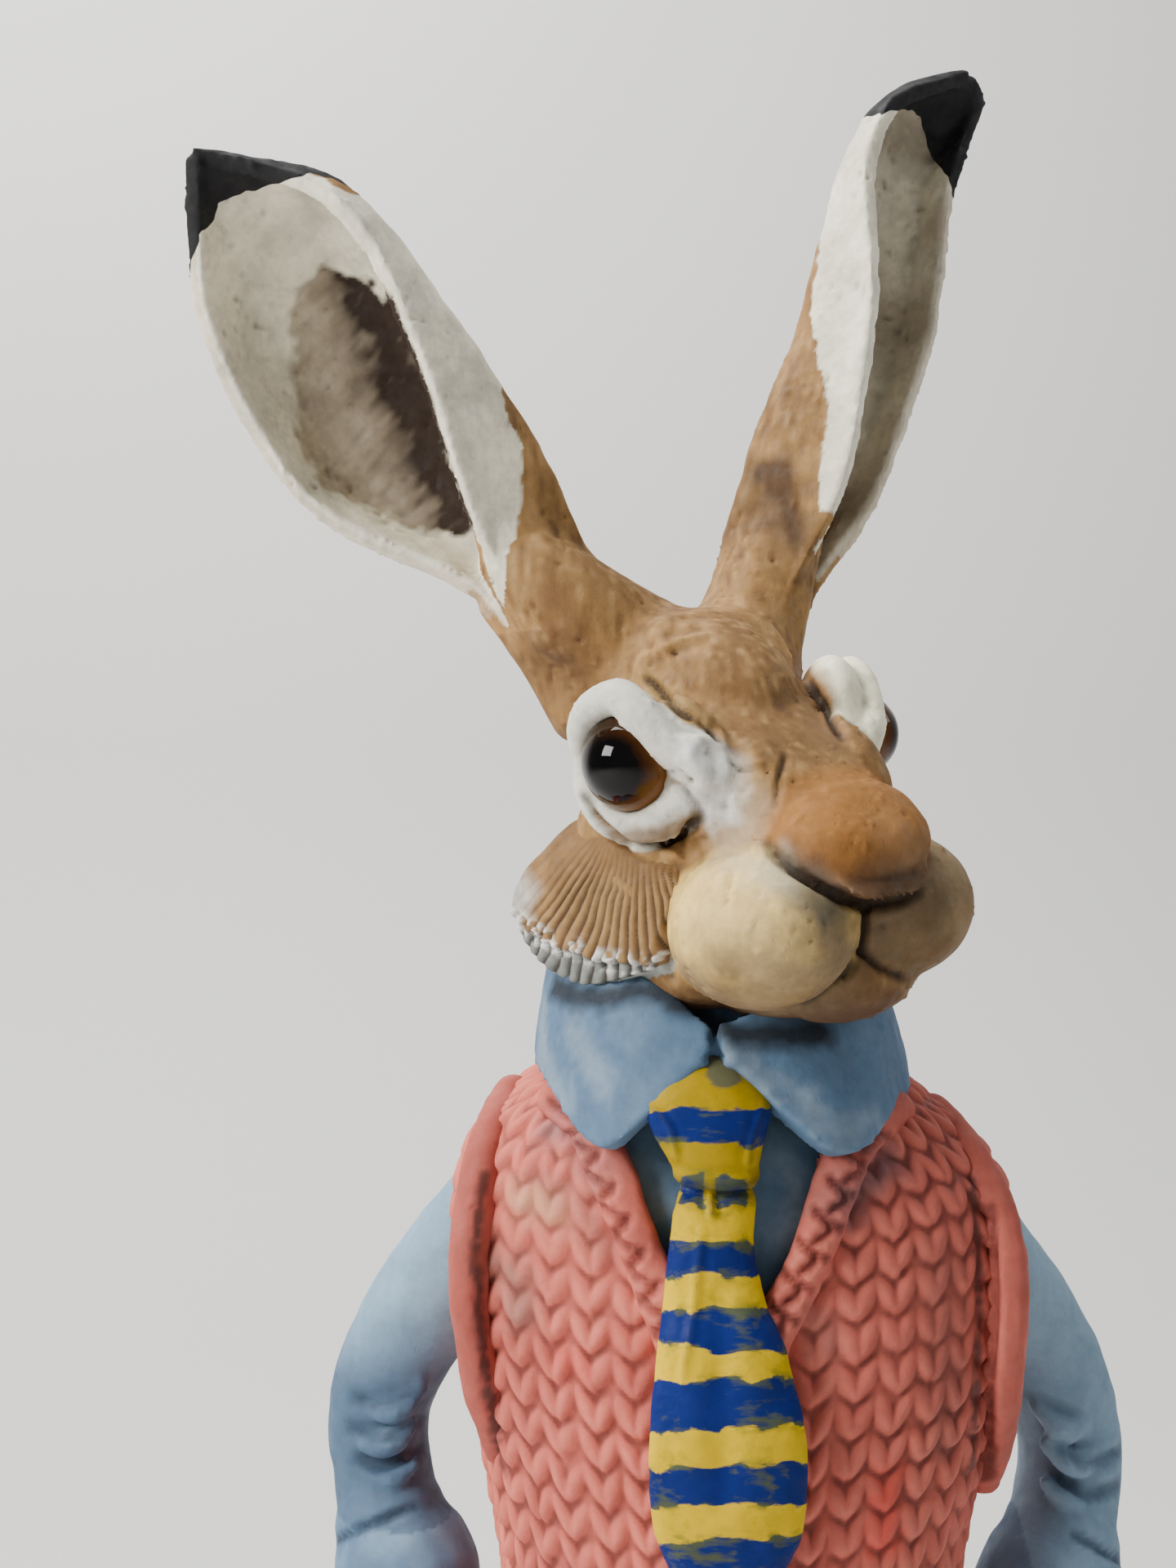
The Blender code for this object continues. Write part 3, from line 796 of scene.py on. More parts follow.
LEFT_EAR_DEPTHS = (0.43, 0.66, 0.5, 0, -0.38)
EAR_WALL = 4.4
RIGHT_ROOT = (
    (-14, 0, 466, 21),
    (-28, -5, 476, 17),
    (-44, -9, 489, 14),
    (-56, -8, 503, 9),
    (-63, -4, 515, 3),
)
LEFT_ROOT = (
    (0, 4, 470, 21),
    (6, 9, 482, 15),
    (11, 13, 498, 13),
    (18, 18, 516, 10),
    (24, 22, 532, 6),
)


def ear_rows(levels, depths, steps):
    rows = []
    for back, rim_x, rim_z, fold_x, fold_z, lip_x, lip_z in through(levels, 2):
        rim, fold = Vector((rim_x, back, rim_z)), Vector((fold_x, back, fold_z))
        lip = Vector((lip_x, back, lip_z))
        width = (fold - rim).length
        corners = (rim, rim.lerp(fold, 0.25), rim.lerp(fold, 0.75), fold, lip)
        line = [corner + Vector((0, width * depth, 0)) for corner, depth in zip(corners, depths)]
        rows.append(through(line, steps))
    return rows


ears = {
    -1: ear_rows(RIGHT_EAR, RIGHT_EAR_DEPTHS, 4),
    1: ear_rows(LEFT_EAR, LEFT_EAR_DEPTHS, 4),
}
ear_forms = [sheet(ears[-1], -EAR_WALL), roll(RIGHT_ROOT), sheet(ears[1], EAR_WALL), roll(LEFT_ROOT)]
ear_forms.append(roll([(-60, -6, 487, 4), (-49, -5, 475, 6), (-38, -5, 460, 8)]))

# %% One skin for head and ears
FUR = (0.27, 0.145, 0.048)
head_forms = skull + [bridge, nose] + lip_pads + chin + cheeks + ruff_sheets
head_forms += lids[1] + lids[-1] + ear_forms
head_forms.append(roll([(0, 4, 385, 26), (0, 0, 405, 27)]))
head = pressed_together(head_forms, 0.9, 3, FUR)
print("head and ears:", len(head.points), "points")

# %% [markdown]
# # Thumb the seams smooth
# The lumps still look like balls stuck together. On the real head a thumb has pushed clay into most
# of the seams. `thumbed` does that: near a spot it raises only what lies lower than its surroundings.

# %% Push clay into the seams


def thumbed(clay, spot, reach, times=40, rounds=2):
    for _ in range(rounds):
        soft = clay.evened(clay.points, times)
        lift = ((soft - clay.points) * clay.normals).sum(axis=1)
        near = np.clip(1.5 - 1.5 * np.linalg.norm(clay.points - spot, axis=1) / reach, 0, 1)
        clay.push(np.clip(lift, 0, None) * near * 1.3)
        clay.refresh()


SEAMS = (
    # across and down in pixels, reach in mm, rounds
    (893, 955, 22, 4),
    (600, 640, 26, 2),
    (720, 800, 26, 2),
    (870, 760, 30, 2),
    (950, 720, 26, 2),
    (1005, 870, 12, 1),
    (800, 1070, 14, 2),
    (1010, 975, 20, 4),
    (1060, 962, 16, 3),
    (955, 1005, 13, 2),
    (870, 815, 16, 2),
)
for across, down, reach, rounds in SEAMS:
    spot = seen(head, [(across, down), (across + 1, down)], 1)
    thumbed(head, spot[0], reach, rounds=rounds)
head.ready()

# %% [markdown]
# # Creases, cracks and lumps of the head
# Now the marks that give the face its look: the deep crease under the lower lid, the crack along the
# brow, the seams of the nose and lip pads, the edge of the forehead slab and the lumps by the eye.

# %% Tool marks
CREASES = (
    # width, depth, and the line in pixels; a negative depth is a ridge
    (1.3, 2.2, ((716, 976), (734, 1006), (766, 1031), (793, 1035), (818, 1028), (842, 1014), (858, 1000))),
    (1.0, 1.8, ((793, 832), (812, 850), (832, 869), (856, 882))),
    (0.9, 0.9, ((856, 882), (868, 893), (880, 908))),
    (1.2, 1.6, ((992, 838), (1007, 862), (1020, 884), (1032, 904))),
    (0.8, 0.8, ((962, 925), (955, 950), (950, 985))),
    (1.3, 1.8, ((940, 1036), (950, 1046), (975, 1068), (1010, 1090), (1056, 1108), (1095, 1104),
                (1122, 1092))),
    (1.2, 1.9, ((1058, 1108), (1056, 1135), (1051, 1165))),
    (1.0, 1.2, ((1051, 1165), (1075, 1182), (1110, 1200))),
    (1.1, 1.0, ((1045, 1180), (1020, 1205), (985, 1232))),
    (1.4, 1.6, ((828, 1062), (814, 1100), (812, 1150), (820, 1195))),
    (0.8, 0.6, ((893, 932), (905, 942), (928, 944))),
    (1.4, -0.8, ((796, 836), (784, 815), (800, 799), (838, 783), (880, 773))),
    (0.8, 0.5, ((822, 800), (836, 830), (850, 850))),
    (1.0, -0.6, ((866, 872), (880, 890), (888, 915))),
    (1.0, 1.2, ((740, 1060), (758, 1068), (778, 1082))),
    (0.8, 0.5, ((898, 1060), (893, 1090), (888, 1110))),
    (2.2, -1.2, ((838, 912), (848, 932), (862, 948), (864, 968))),
    (1.8, -1.0, ((846, 905), (868, 908), (884, 924), (890, 948), (880, 968))),
    (1.0, 0.8, ((812, 944), (824, 956), (846, 976), (858, 992))),
    (0.7, 0.5, ((812, 946), (820, 960), (822, 966))),
)
# Painted shade: the deeper creases are later darkened nearly black along their lines.
CREASE_SHADE = []
for width, depth, pixels in CREASES:
    line = seen(head, pixels)
    mark(head, line, width, depth)
    if depth > 0.75:
        CREASE_SHADE.append((line, width * 0.9, min(depth * 0.45, 0.8)))
head.ready()

# %% Finger dents and small lumps all over
dents = 0.32 * uneven(head.points, 9, 31) + 0.16 * uneven(head.points, 4, 32)
head.push(dents + 0.05 * uneven(head.points, 1.9, 33))
crumbs = np.clip(uneven(head.points, 1.7, 36) - 0.5, 0, 1) * (uneven(head.points, 12, 37) > -0.1)
nicks = np.clip(uneven(head.points, 1.9, 38) - 0.52, 0, 1) * (uneven(head.points, 10, 39) > 0)
head.push(1.3 * crumbs - 1.5 * nicks)
ear_high = np.clip((head.points[:, 2] - 500) / 20, 0, 1)
head.push(ear_high * (0.3 * uneven(head.points, 12, 34) + 0.22 * uneven(head.points, 5, 35)))
head.refresh()
hollows(head, 6)

# %% [markdown]
# # Painting the head
# The fur is one brown, laid on thin and mottled. Over it go white lids, the far one brighter as painted
# light, cream lip pads, an orange nose and a pale blend from the corner of the eye to the lip. Painted
# shade darkens the fur that faces down, the lower halves of the lip pads, the chin and the lip pads
# under the nose, and black painted shade fills the deepest creases.

# %% Fur, lids, lip pads and nose
WARM_WHITE = (0.84, 0.79, 0.62)
CREAM = (0.84, 0.58, 0.165)
SOOT = (0.012, 0.012, 0.014)
patches = uneven(head.points, 15, 41)
laid(head, (0.44, 0.25, 0.09), np.clip(0.4 * patches + 0.12, 0, 0.55))
laid(head, (0.115, 0.052, 0.02), np.clip(-0.6 * patches - 0.02, 0, 0.7))
brushed = uneven(head.points * (1, 1, 0.22), 1.6, 42)
laid(head, (0.50, 0.31, 0.13), np.clip(0.75 * brushed - 0.12, 0, 0.5))
laid(head, (0.10, 0.042, 0.016), np.clip(-0.75 * brushed - 0.12, 0, 0.5))
# Painted shade: the fur is darker where it faces downwards.
painted_shade_below = np.clip(-1.1 * head.normals[:, 2] - 0.2, 0, 0.85) * (head.points[:, 2] < 480)
laid(head, (0.075, 0.034, 0.015), painted_shade_below)

on_nose = gap_to(head, [nose], 6)
laid(head, (0.285, 0.115, 0.022), 0.85 * np.clip(1.3 - on_nose / 4 + 0.25 * patches, 0, 1))
# Painted shade under the nose, where it overhangs the lip pads.
shade_under_nose = seen(head, ((975, 1062), (1030, 1092), (1085, 1092), (1130, 1066)))
daub(head, shade_under_nose, 5.5, (0.13, 0.05, 0.02), 0.7, 1.4)
daub(head, seen(head, ((1095, 1020), (1118, 1040))), 5, (0.5, 0.25, 0.09), 0.5, 1.5)

on_near_pad, on_far_pad = gap_to(head, lip_pads[:1], 3), gap_to(head, lip_pads[1:], 3)
cloud = uneven(head.points, 8, 43)
laid(head, CREAM, 0.92 * np.clip(1.35 - on_near_pad / 1.6 + 0.25 * cloud, 0, 1) * (on_nose > 1))
off_nose = on_nose > 1
# The far lip pad is browner: its own paint, and painted shadow where the nose shades it.
laid(head, (0.27, 0.19, 0.095), 0.85 * np.clip(1.3 - on_far_pad / 1.6 + 0.2 * cloud, 0, 1) * off_nose)
on_pads = np.clip(1.4 - np.minimum(on_near_pad, on_far_pad) / 1.6, 0, 1)
streaky = 0.45 * uneven(head.points * (0.5, 1, 1), 5, 46) + 0.35 * cloud + 0.2 * brushed
# Painted shade on the lower, downward-facing half of both lip pads, partly their darker lower paint.
shaded = np.clip(0.22 - 1.15 * head.normals[:, 2] + streaky, 0, 0.88)
laid(head, (0.15, 0.085, 0.032), on_pads * shaded * off_nose)
MUZZLE_DAUBS = (
    # line in pixels, radius in mm, colour, strength, softness and raggedness
    # Painted shadow of the nose on the far lip pad.
    (((1075, 1130), (1100, 1100), (1125, 1085)), 9, (0.10, 0.065, 0.035), 0.75, 1.5),
    (((1010, 1120), (1030, 1150), (1030, 1180)), 7, (0.23, 0.16, 0.09), 0.65, 1.3),
    # Painted shade along the lower edge of the lip pads.
    (((840, 1190), (880, 1222), (940, 1238), (1000, 1225)), 6, (0.24, 0.17, 0.10), 0.6, 1.3),
    (((880, 1110), (935, 1150), (960, 1190)), 9, (0.72, 0.53, 0.28), 0.45, 1.5),
    (((965, 1070), (990, 1090), (1015, 1108)), 5, (0.10, 0.10, 0.085), 0.75, 1.2),
    (((905, 985), (898, 1020), (888, 1050)), 5.5, (0.62, 0.47, 0.30), 0.75, 1.5),
    (((925, 1060), (945, 1075)), 5, (0.60, 0.53, 0.36), 0.6, 1.4),
    (((798, 850), (820, 866), (842, 892), (852, 905)), 3.6, (0.40, 0.27, 0.10), 0.7, 1.5),
    # Painted shade on the chin, under the lip pads.
    (((905, 1245), (1000, 1255), (1070, 1240)), 10, (0.10, 0.05, 0.025), 0.85, 1.2),
    (((945, 585), (962, 620), (972, 660)), 7, (0.045, 0.022, 0.011), 0.85, 1.3, 0.5),
)
for pixels, radius, colour, *brush in MUZZLE_DAUBS:
    daub(head, seen(head, pixels), radius, colour, *brush)

for side in (-1, 1):
    on_lid = gap_to(head, lids[side][:2], 2.5)
    # The far lid's white is brighter than the near one's: painted light on the far lid, which sits in
    # shade.
    white = (0.70, 0.68, 0.58) if side < 0 else (0.95, 0.90, 0.66)
    laid(head, white, np.clip(1.75 - on_lid / 0.8 + 0.2 * cloud, 0, 1))
# Painted light: the lump by the far eye takes the same bright white.
far_side = gap_to(head, [far_lump, lids[1][3]], 2.5)
laid(head, (0.95, 0.90, 0.66), np.clip(1.8 - far_side / 0.8 + 0.2 * cloud, 0, 1))
white_patch = seen(head, ((845, 920), (862, 940), (866, 962), (872, 990)))
daub(head, white_patch, 5, (0.80, 0.81, 0.76), 0.9, 0.9, 0.5)
daub(head, seen(head, ((870, 915), (886, 935), (884, 965))), 4.5, (0.62, 0.60, 0.54), 0.7, 1.0, 0.5)
smudge = np.clip(0.9 * uneven(head.points, 3.2, 44) + 0.5 * uneven(head.points, 1.4, 45), 0, 1)
for line, radius, strength in (
    (((810, 945), (835, 975), (860, 985)), 5, 0.75),
    (((730, 1000), (760, 1018), (800, 1014), (840, 996)), 3.4, 0.7),
    (((785, 880), (815, 915), (840, 930)), 4, 0.35),
    (((735, 850), (765, 850)), 4, 0.3),
):
    distance, _ = away(head.points, seen(head, line), radius * 2)
    laid(head, (0.24, 0.23, 0.21), strength * np.clip(1.3 - distance / radius, 0, 1) * (0.25 + smudge))
below_lid = seen(head, ((752, 1024), (786, 1027), (822, 1018), (850, 1000)))
daub(head, below_lid, 2.4, (0.21, 0.13, 0.07), 0.85, 0.9)
far_lid_face = seen(head, ((972, 812), (985, 840), (998, 872), (1010, 905)))
daub(head, far_lid_face, 5.2, (0.23, 0.125, 0.05), 1.0, 0.7)
# Black painted shade in the deeper creases.
for line, radius, strength in CREASE_SHADE:
    daub(head, line, radius, (0.02, 0.015, 0.012), strength, 1.6, 0.5)

# %% [markdown]
# # Painting the ears
# Each ear is white inside and brown outside, with a black tip, and the white laps over the rim and
# over the folded lip. To know where it is on an ear, a point of clay looks up the nearest spot of the
# sheet that the ear was cut from: how far along, how far across, and on which face. The outlines of
# the paint are given in pixels, as they show from the front.

# %% Where a point is on its ear


def as_seen(points):
    """The pixels at which points show from the front."""
    way = np.asarray(points) - np.array(VIEWPOINT)
    right, up = PIXELS * way[:, 0] / way[:, 1], PIXELS * way[:, 2] / way[:, 1]
    return np.stack((MIDDLE_PIXEL[0] + right, MIDDLE_PIXEL[1] - up), 1)


def inside_outline(spots, outline):
    """Pixels from an outline, above zero inside it."""
    corners = np.array(outline, float)
    inside = np.zeros(len(spots), bool)
    nearest = np.full(len(spots), 1e9)
    for start, end in zip(corners, np.roll(corners, -1, axis=0)):
        step = end - start
        t = np.clip((spots - start) @ step / max(step @ step, 1e-9), 0, 1)
        nearest = np.minimum(nearest, np.linalg.norm(spots - start - t[:, None] * step, axis=1))
        crosses = (start[1] > spots[:, 1]) != (end[1] > spots[:, 1])
        rise = step[1] if step[1] else 1e-9
        inside ^= crosses & (spots[:, 0] < start[0] + step[0] * (spots[:, 1] - start[1]) / rise)
    return np.where(inside, nearest, -nearest)


def place_on_ear(points, rows, wall):
    """Share along, share across, and side (above zero inside the cup) for points near an ear."""
    grid = np.array([[tuple(p) for p in row] for row in rows])
    normals = np.cross(np.gradient(grid, axis=1), np.gradient(grid, axis=0))
    normals /= np.linalg.norm(normals, axis=2, keepdims=True)
    tall, wide = grid.shape[:2]
    flat = (grid - normals * wall / 2).reshape(-1, 3)
    faces = [(r * wide + c, r * wide + c + 1, (r + 1) * wide + c + 1, (r + 1) * wide + c)
             for r in range(tall - 1) for c in range(wide - 1)]
    tree = BVHTree.FromPolygons(flat.tolist(), faces)
    found = np.zeros((len(points), 4))
    for i, point in enumerate(points):
        spot, normal, face, gap = tree.find_nearest(point)
        row, column = divmod(face, wide - 1)
        shares = (row + 0.5) / (tall - 1), (column + 0.5) / (wide - 1)
        found[i] = *shares, (Vector(point) - spot).dot(normal), gap
    return found


# %% Where a point is on its ruff
FAN_MIDDLE = (790, 949)


def ruff_comb(points, side):
    """How far round a ruff's fan points lie, in degrees, and how far down it, in pixels."""
    place = np.array(HEAD_PLACE)
    local = (np.asarray(points) - place[:3, 3]) @ place[:3, :3]
    if side > 0:
        local = local * (-1, 1, 1)
    pixels = as_seen(moved(local, HEAD_PLACE)) - FAN_MIDDLE
    return pixels, np.degrees(np.arctan2(-pixels[:, 0], pixels[:, 1])), np.hypot(*pixels.T)


for side, ruff_sheet in zip((1, -1), ruff_sheets):
    near = gap_to(head, [ruff_sheet], 1.5) < 1.2
    far_down = ruff_comb(head.points, side)[2]
    at_collar = np.abs(head.points[:, 2] - 410) < 40
    laid(head, (0.36, 0.37, 0.34), near * np.clip((far_down - 222) / 10, 0, 0.9) * at_collar)

# %% Paint both ears
EAR_PAINT = {
    -1: {
        "black": ((190, 140), (440, 180), (428, 230), (405, 218), (380, 212), (325, 228), (290, 240),
                  (268, 250),
                  (262, 268), (246, 285), (237, 318), (230, 350), (190, 350)),
        "white": ((150, 100), (560, 300), (600, 435), (617, 470), (620, 515), (638, 545), (643, 595),
                  (635, 630),
                  (630, 670), (634, 710), (632, 740), (640, 772), (600, 760), (520, 740), (150, 700)),
    },
    1: {
        "black": ((1030, 40), (1240, 40), (1240, 250), (1169, 250), (1160, 216), (1138, 192), (1132, 164),
                  (1126, 144), (1116, 134), (1092, 136), (1080, 141), (1056, 143), (1030, 152)),
        "white": ((1015, 60), (1300, 60), (1300, 690), (1062, 672), (1000, 712), (1000, 672), (1020, 640),
                  (1020, 628), (1002, 628), (1006, 584), (1006, 552), (1012, 512), (1014, 472), (1002, 444),
                  (1000, 420), (992, 384), (1000, 340), (1003, 250)),
    },
}
STAIN = ((362, 352), (400, 325), (460, 350), (502, 385), (532, 470), (552, 560), (590, 655), (520, 655),
         (440, 622), (392, 588), (368, 545), (357, 430))
PALE_STAIN = np.array((0.30, 0.215, 0.135))
DARK_STAIN = np.array((0.028, 0.016, 0.010))
head.marks["black_mm"] = np.full(len(head.points), -9.0)
for side, title in ((-1, "right"), (1, "left")):
    reach = head.points[:, 0] < -30 if side < 0 else head.points[:, 0] > -16
    chosen = np.flatnonzero(reach & (head.points[:, 2] > 466))
    spots = head.points[chosen]
    along, across, face, gap = place_on_ear(spots, ears[side], EAR_WALL * side).T
    face *= -side
    on_sheet = gap < EAR_WALL * 0.5 + 1.6
    pixels = as_seen(spots)
    ragged = 3.0 * uneven(spots, 2.2, 51) + 3.0 * uneven(spots, 6, 52)
    toward = -head.normals[chosen, 1]
    rim = np.clip(1.2 - (across * 70) / 5, 0, 1) * np.clip((along - 0.12) * 12, 0, 1)
    cup = np.clip(face / 1.0 + 0.2, 0, 1)
    front = np.clip((inside_outline(pixels, EAR_PAINT[side]["white"]) + ragged) / 1.6 + 0.5, 0, 1)
    flap = (across > 0.6) & (toward > -0.15)
    white = np.maximum(cup, rim) * on_sheet
    white = np.where(flap, on_sheet * 1.0, white) * np.where(toward > -0.4, front, 1)
    tone = np.array(WARM_WHITE) * (1.08 + 0.05 * uneven(spots, 9, 53))[:, None]
    # Random grey in both ears, and painted shade inside the cups, strongest in the left ear.
    greyed_and_shaded = 0.45 * uneven(spots, 13, 54) + (0.1 if side < 0 else 0.75) * cup * (across < 0.8)
    greyed_and_shaded = np.clip(greyed_and_shaded, 0, 0.4 if side < 0 else 0.9)
    tone += (np.array((0.50, 0.46, 0.38) if side < 0 else (0.30, 0.25, 0.18)) - tone) * greyed_and_shaded[:, None]
    colour = head.paint[chosen]
    colour += (tone - colour) * np.clip(white, 0, 1)[:, None]
    if side < 0:
        edge = inside_outline(pixels, STAIN) + 2.5 * ragged
        streaks = uneven(spots @ np.array(((0.75, 0, 0), (0, 1, 0), (-0.55, 0, 0.3))), 1.4, 55)
        blotch = uneven(spots, 5, 56)
        stain = np.clip(edge / 9 + 0.6, 0, 1) * np.clip(face * 2 + 0.6, 0, 1) * (across < 0.97)
        right_side = np.clip((pixels[:, 0] - 385 - 0.42 * (pixels[:, 1] - 350)) / 85 + 0.4, 0, 1)
        dark = np.clip(right_side + 0.12 + 0.2 * streaks + 0.2 * blotch, 0, 1)
        wash = PALE_STAIN + (DARK_STAIN - PALE_STAIN) * dark[:, None]
        colour += (wash - colour) * (stain * (0.66 + 0.34 * dark))[:, None]
    head.paint[chosen] = colour
    head.marks["black_mm"][chosen] = (inside_outline(pixels, EAR_PAINT[side]["black"]) + 0.8 * ragged) / 5
    print(title, "ear:", len(chosen), "points painted")

# %% Split the skin into head and ears, so that each piece stays light
middle = head.points[head.faces].mean(axis=1)
is_ear = middle[:, 2] > 499
parts_of_head = {
    "head": ~is_ear,
    "right_ear": is_ear & (middle[:, 0] < -34),
    "left_ear": is_ear & (middle[:, 0] >= -34),
}
CLAY_FUR = painted("painted_fur", mottle=0.22, wash=0.8, wash_and_shade_colour=(0.03, 0.018, 0.012))
tree = CLAY_FUR.node_tree
black = node(tree, "ShaderNodeAttribute", attribute_name="black_mm").outputs["Fac"]
mask = between(tree, black, -0.08, 0.08)
colour = mixed(tree, "MIX", mask, tree.nodes["thin_paint_and_shade"].outputs["Colour"], SOOT)
tree.links.new(colour, tree.nodes["Principled BSDF"].inputs["Base Color"])
for title, chosen in parts_of_head.items():
    finished(title, head, CLAY_FUR, keep=chosen)

# %% [markdown]
# # The combed ruff
# Under each cheek a scallop of fur stands out over the collar. On the real head it was pressed flat
# and combed with a fine tool, so it is a fan of narrow flutes that spread from under the eye. The
# flutes are brown down to a white crumbled crust, and grey-white on the fringe below it. A comb is
# easier as a formula than as forty strokes. The left side is the same fan, mirrored.

# %% One fan of flutes on each side
FLUTE_DEGREES = 3.4
for side, title in ((-1, "right_ruff"), (1, "left_ruff")):
    grid = np.array([[tuple(p) for p in row] for row in ruff_rows(side, 46, 84)])
    if side < 0:
        grid = grid[:, ::-1]
    across_the_grid, down_the_grid = np.gradient(grid, axis=1), np.gradient(grid, axis=0)
    normals = np.cross(across_the_grid, down_the_grid).reshape(-1, 3)
    normals /= np.linalg.norm(normals, axis=1, keepdims=True)
    outward = side * np.array(HEAD_PLACE)[:3, 0]
    turned_over = np.mean(normals @ outward) < 0
    normals *= -1 if turned_over else 1
    rows, columns = grid.shape[:2]
    points = grid.reshape(-1, 3)
    bend, angle, far_down = ruff_comb(points, side)
    share_down = np.repeat(np.linspace(0, 1, rows), columns)
    share_across = np.tile(np.linspace(0, 1, columns), rows)
    sway = 0.25 * uneven(points, 8, 61) + 0.1 * uneven(points, 2.5, 62)
    comb = np.abs(np.sin(math.pi * (angle / FLUTE_DEGREES + sway))) ** 0.6
    combed = np.clip((44 - angle) / 16, 0.15, 1) * np.clip((far_down - 95) / 60, 0.1, 1)
    fringe = np.clip((far_down - 229 - 5 * uneven(points, 4, 63)) / 5, 0, 1)
    crumbs = np.clip(uneven(points, 1.4, 64) * 1.8 + 0.05, 0, 1) * np.exp(-(((far_down - 230) / 11) ** 2))
    sides = np.minimum(share_across, 1 - share_across)
    tuck = 6 * np.clip(1 - sides / 0.05, 0, 1) ** 2 + 5 * np.clip(1 - share_down / 0.1, 0, 1)
    curl = 5 * np.clip((share_down - 0.955) / 0.045, 0, 1) ** 2
    height = 1.9 - 1.2 * fringe + 1.25 * comb * combed + 1.1 * crumbs - tuck - curl
    height += 0.5 * uneven(points, 7, 65)
    corner = (np.arange(rows - 1)[:, None] * columns + np.arange(columns - 1)[None, :]).ravel()
    faces = np.stack((corner, corner + 1, corner + columns + 1, corner + columns), 1)
    faces = faces[:, ::-1] if turned_over else faces
    fan = Clay(points + normals * height[:, None], faces, (0.20, 0.105, 0.038))
    patch = uneven(points, 5, 66)
    laid(fan, (0.33, 0.19, 0.075), np.clip(0.6 * patch + 0.1, 0, 0.7))
    laid(fan, (0.40, 0.25, 0.10), np.clip(comb * 1.6 - 1.1, 0, 0.5) * combed)
    laid(fan, (0.075, 0.082, 0.075), fringe)
    laid(fan, (0.26, 0.27, 0.245), fringe * np.clip(comb * 1.5 - 0.7 + 0.3 * patch, 0, 1))
    laid(fan, (0.84, 0.83, 0.77), np.clip(crumbs * 2.4, 0, 0.95))
    laid(fan, (0.62, 0.60, 0.54), np.clip(angle / 6 - 6.3, 0, 0.75) * np.clip((far_down - 175) / 25, 0, 1))
    # Painted shade: the grooves between the flutes are darkened.
    laid(fan, (0.035, 0.022, 0.014), np.clip((1 - comb) * 1.7 - 0.45, 0, 0.9) * np.clip(combed * 1.3, 0, 1))
    fan.marks["hollow"] = np.zeros(len(points))
    fan.marks["black_mm"] = np.full(len(points), -9.0)
    finished(title, fan, CLAY_FUR)

# %% [markdown]
# # The glass eyes
# Each eye is a 24 mm glass ball: a wide dark pupil and an amber iris behind a clear dome. The dome
# bulges slightly over the pupil. Colour comes from the angle off the eye's axis, with a painted glow:
# the iris is painted brighter on the side away from the key light and darker on the other, and a
# clear coat gives the hard highlights of glass.

# %% Iris, pupil and clear dome


def glass():
    look = bpy.data.materials.new("brown_glass_eye")
    look.use_nodes = True
    tree = look.node_tree
    shader = tree.nodes["Principled BSDF"]
    shader.inputs["IOR"].default_value = 1.5
    shader.inputs["Specular IOR Level"].default_value = 0.0
    shader.inputs["Coat Weight"].default_value = 1.0
    shader.inputs["Coat Roughness"].default_value = 0.015
    shader.inputs["Coat IOR"].default_value = 1.33
    angle = node(tree, "ShaderNodeAttribute", attribute_name="off_axis").outputs["Fac"]
    painted_glow = node(tree, "ShaderNodeAttribute", attribute_name="painted_glow").outputs["Fac"]
    place = node(tree, "ShaderNodeTexCoord").outputs["Object"]
    cloud = noise(tree, place, 240, 4, 0.6)
    ragged = sum_of(tree, "ADD", angle, between(tree, cloud, 0.3, 0.7, -2.5, 2.5))
    ramp = node(tree, "ShaderNodeValToRGB")
    tree.links.new(between(tree, ragged, 0, 100), ramp.inputs["Fac"])
    stops = (
        (0.0, (0.002, 0.002, 0.002)),
        (0.335, (0.003, 0.002, 0.002)),
        (0.385, (0.022, 0.007, 0.002)),
        (0.46, (0.055, 0.019, 0.003)),
        (0.62, (0.11, 0.040, 0.006)),
        (0.80, (0.05, 0.017, 0.003)),
        (1.0, (0.015, 0.006, 0.002)),
    )
    ramp.color_ramp.elements[0].position = 0
    for position, colour in stops[1:-1]:
        ramp.color_ramp.elements.new(position)
    for element, (position, colour) in zip(ramp.color_ramp.elements, stops):
        element.position = position
        element.color = (*colour, 1)
    # Painted light: the colour is brightened on the side away from the key light, where light shines
    # through the glass, and darkened elsewhere.
    lit = between(tree, painted_glow, -0.6, 0.9, 0.25, 1.5)
    grey = node(tree, "ShaderNodeCombineColor")
    for socket in grey.inputs[:3]:
        tree.links.new(lit, socket)
    colour = mixed(tree, "MULTIPLY", 1.0, ramp.outputs["Color"], grey.outputs[0])
    tree.links.new(colour, shader.inputs["Base Color"])
    soft = between(tree, cloud, 0.3, 0.7, 0.25, 0.4)
    tree.links.new(soft, shader.inputs["Roughness"])
    return look


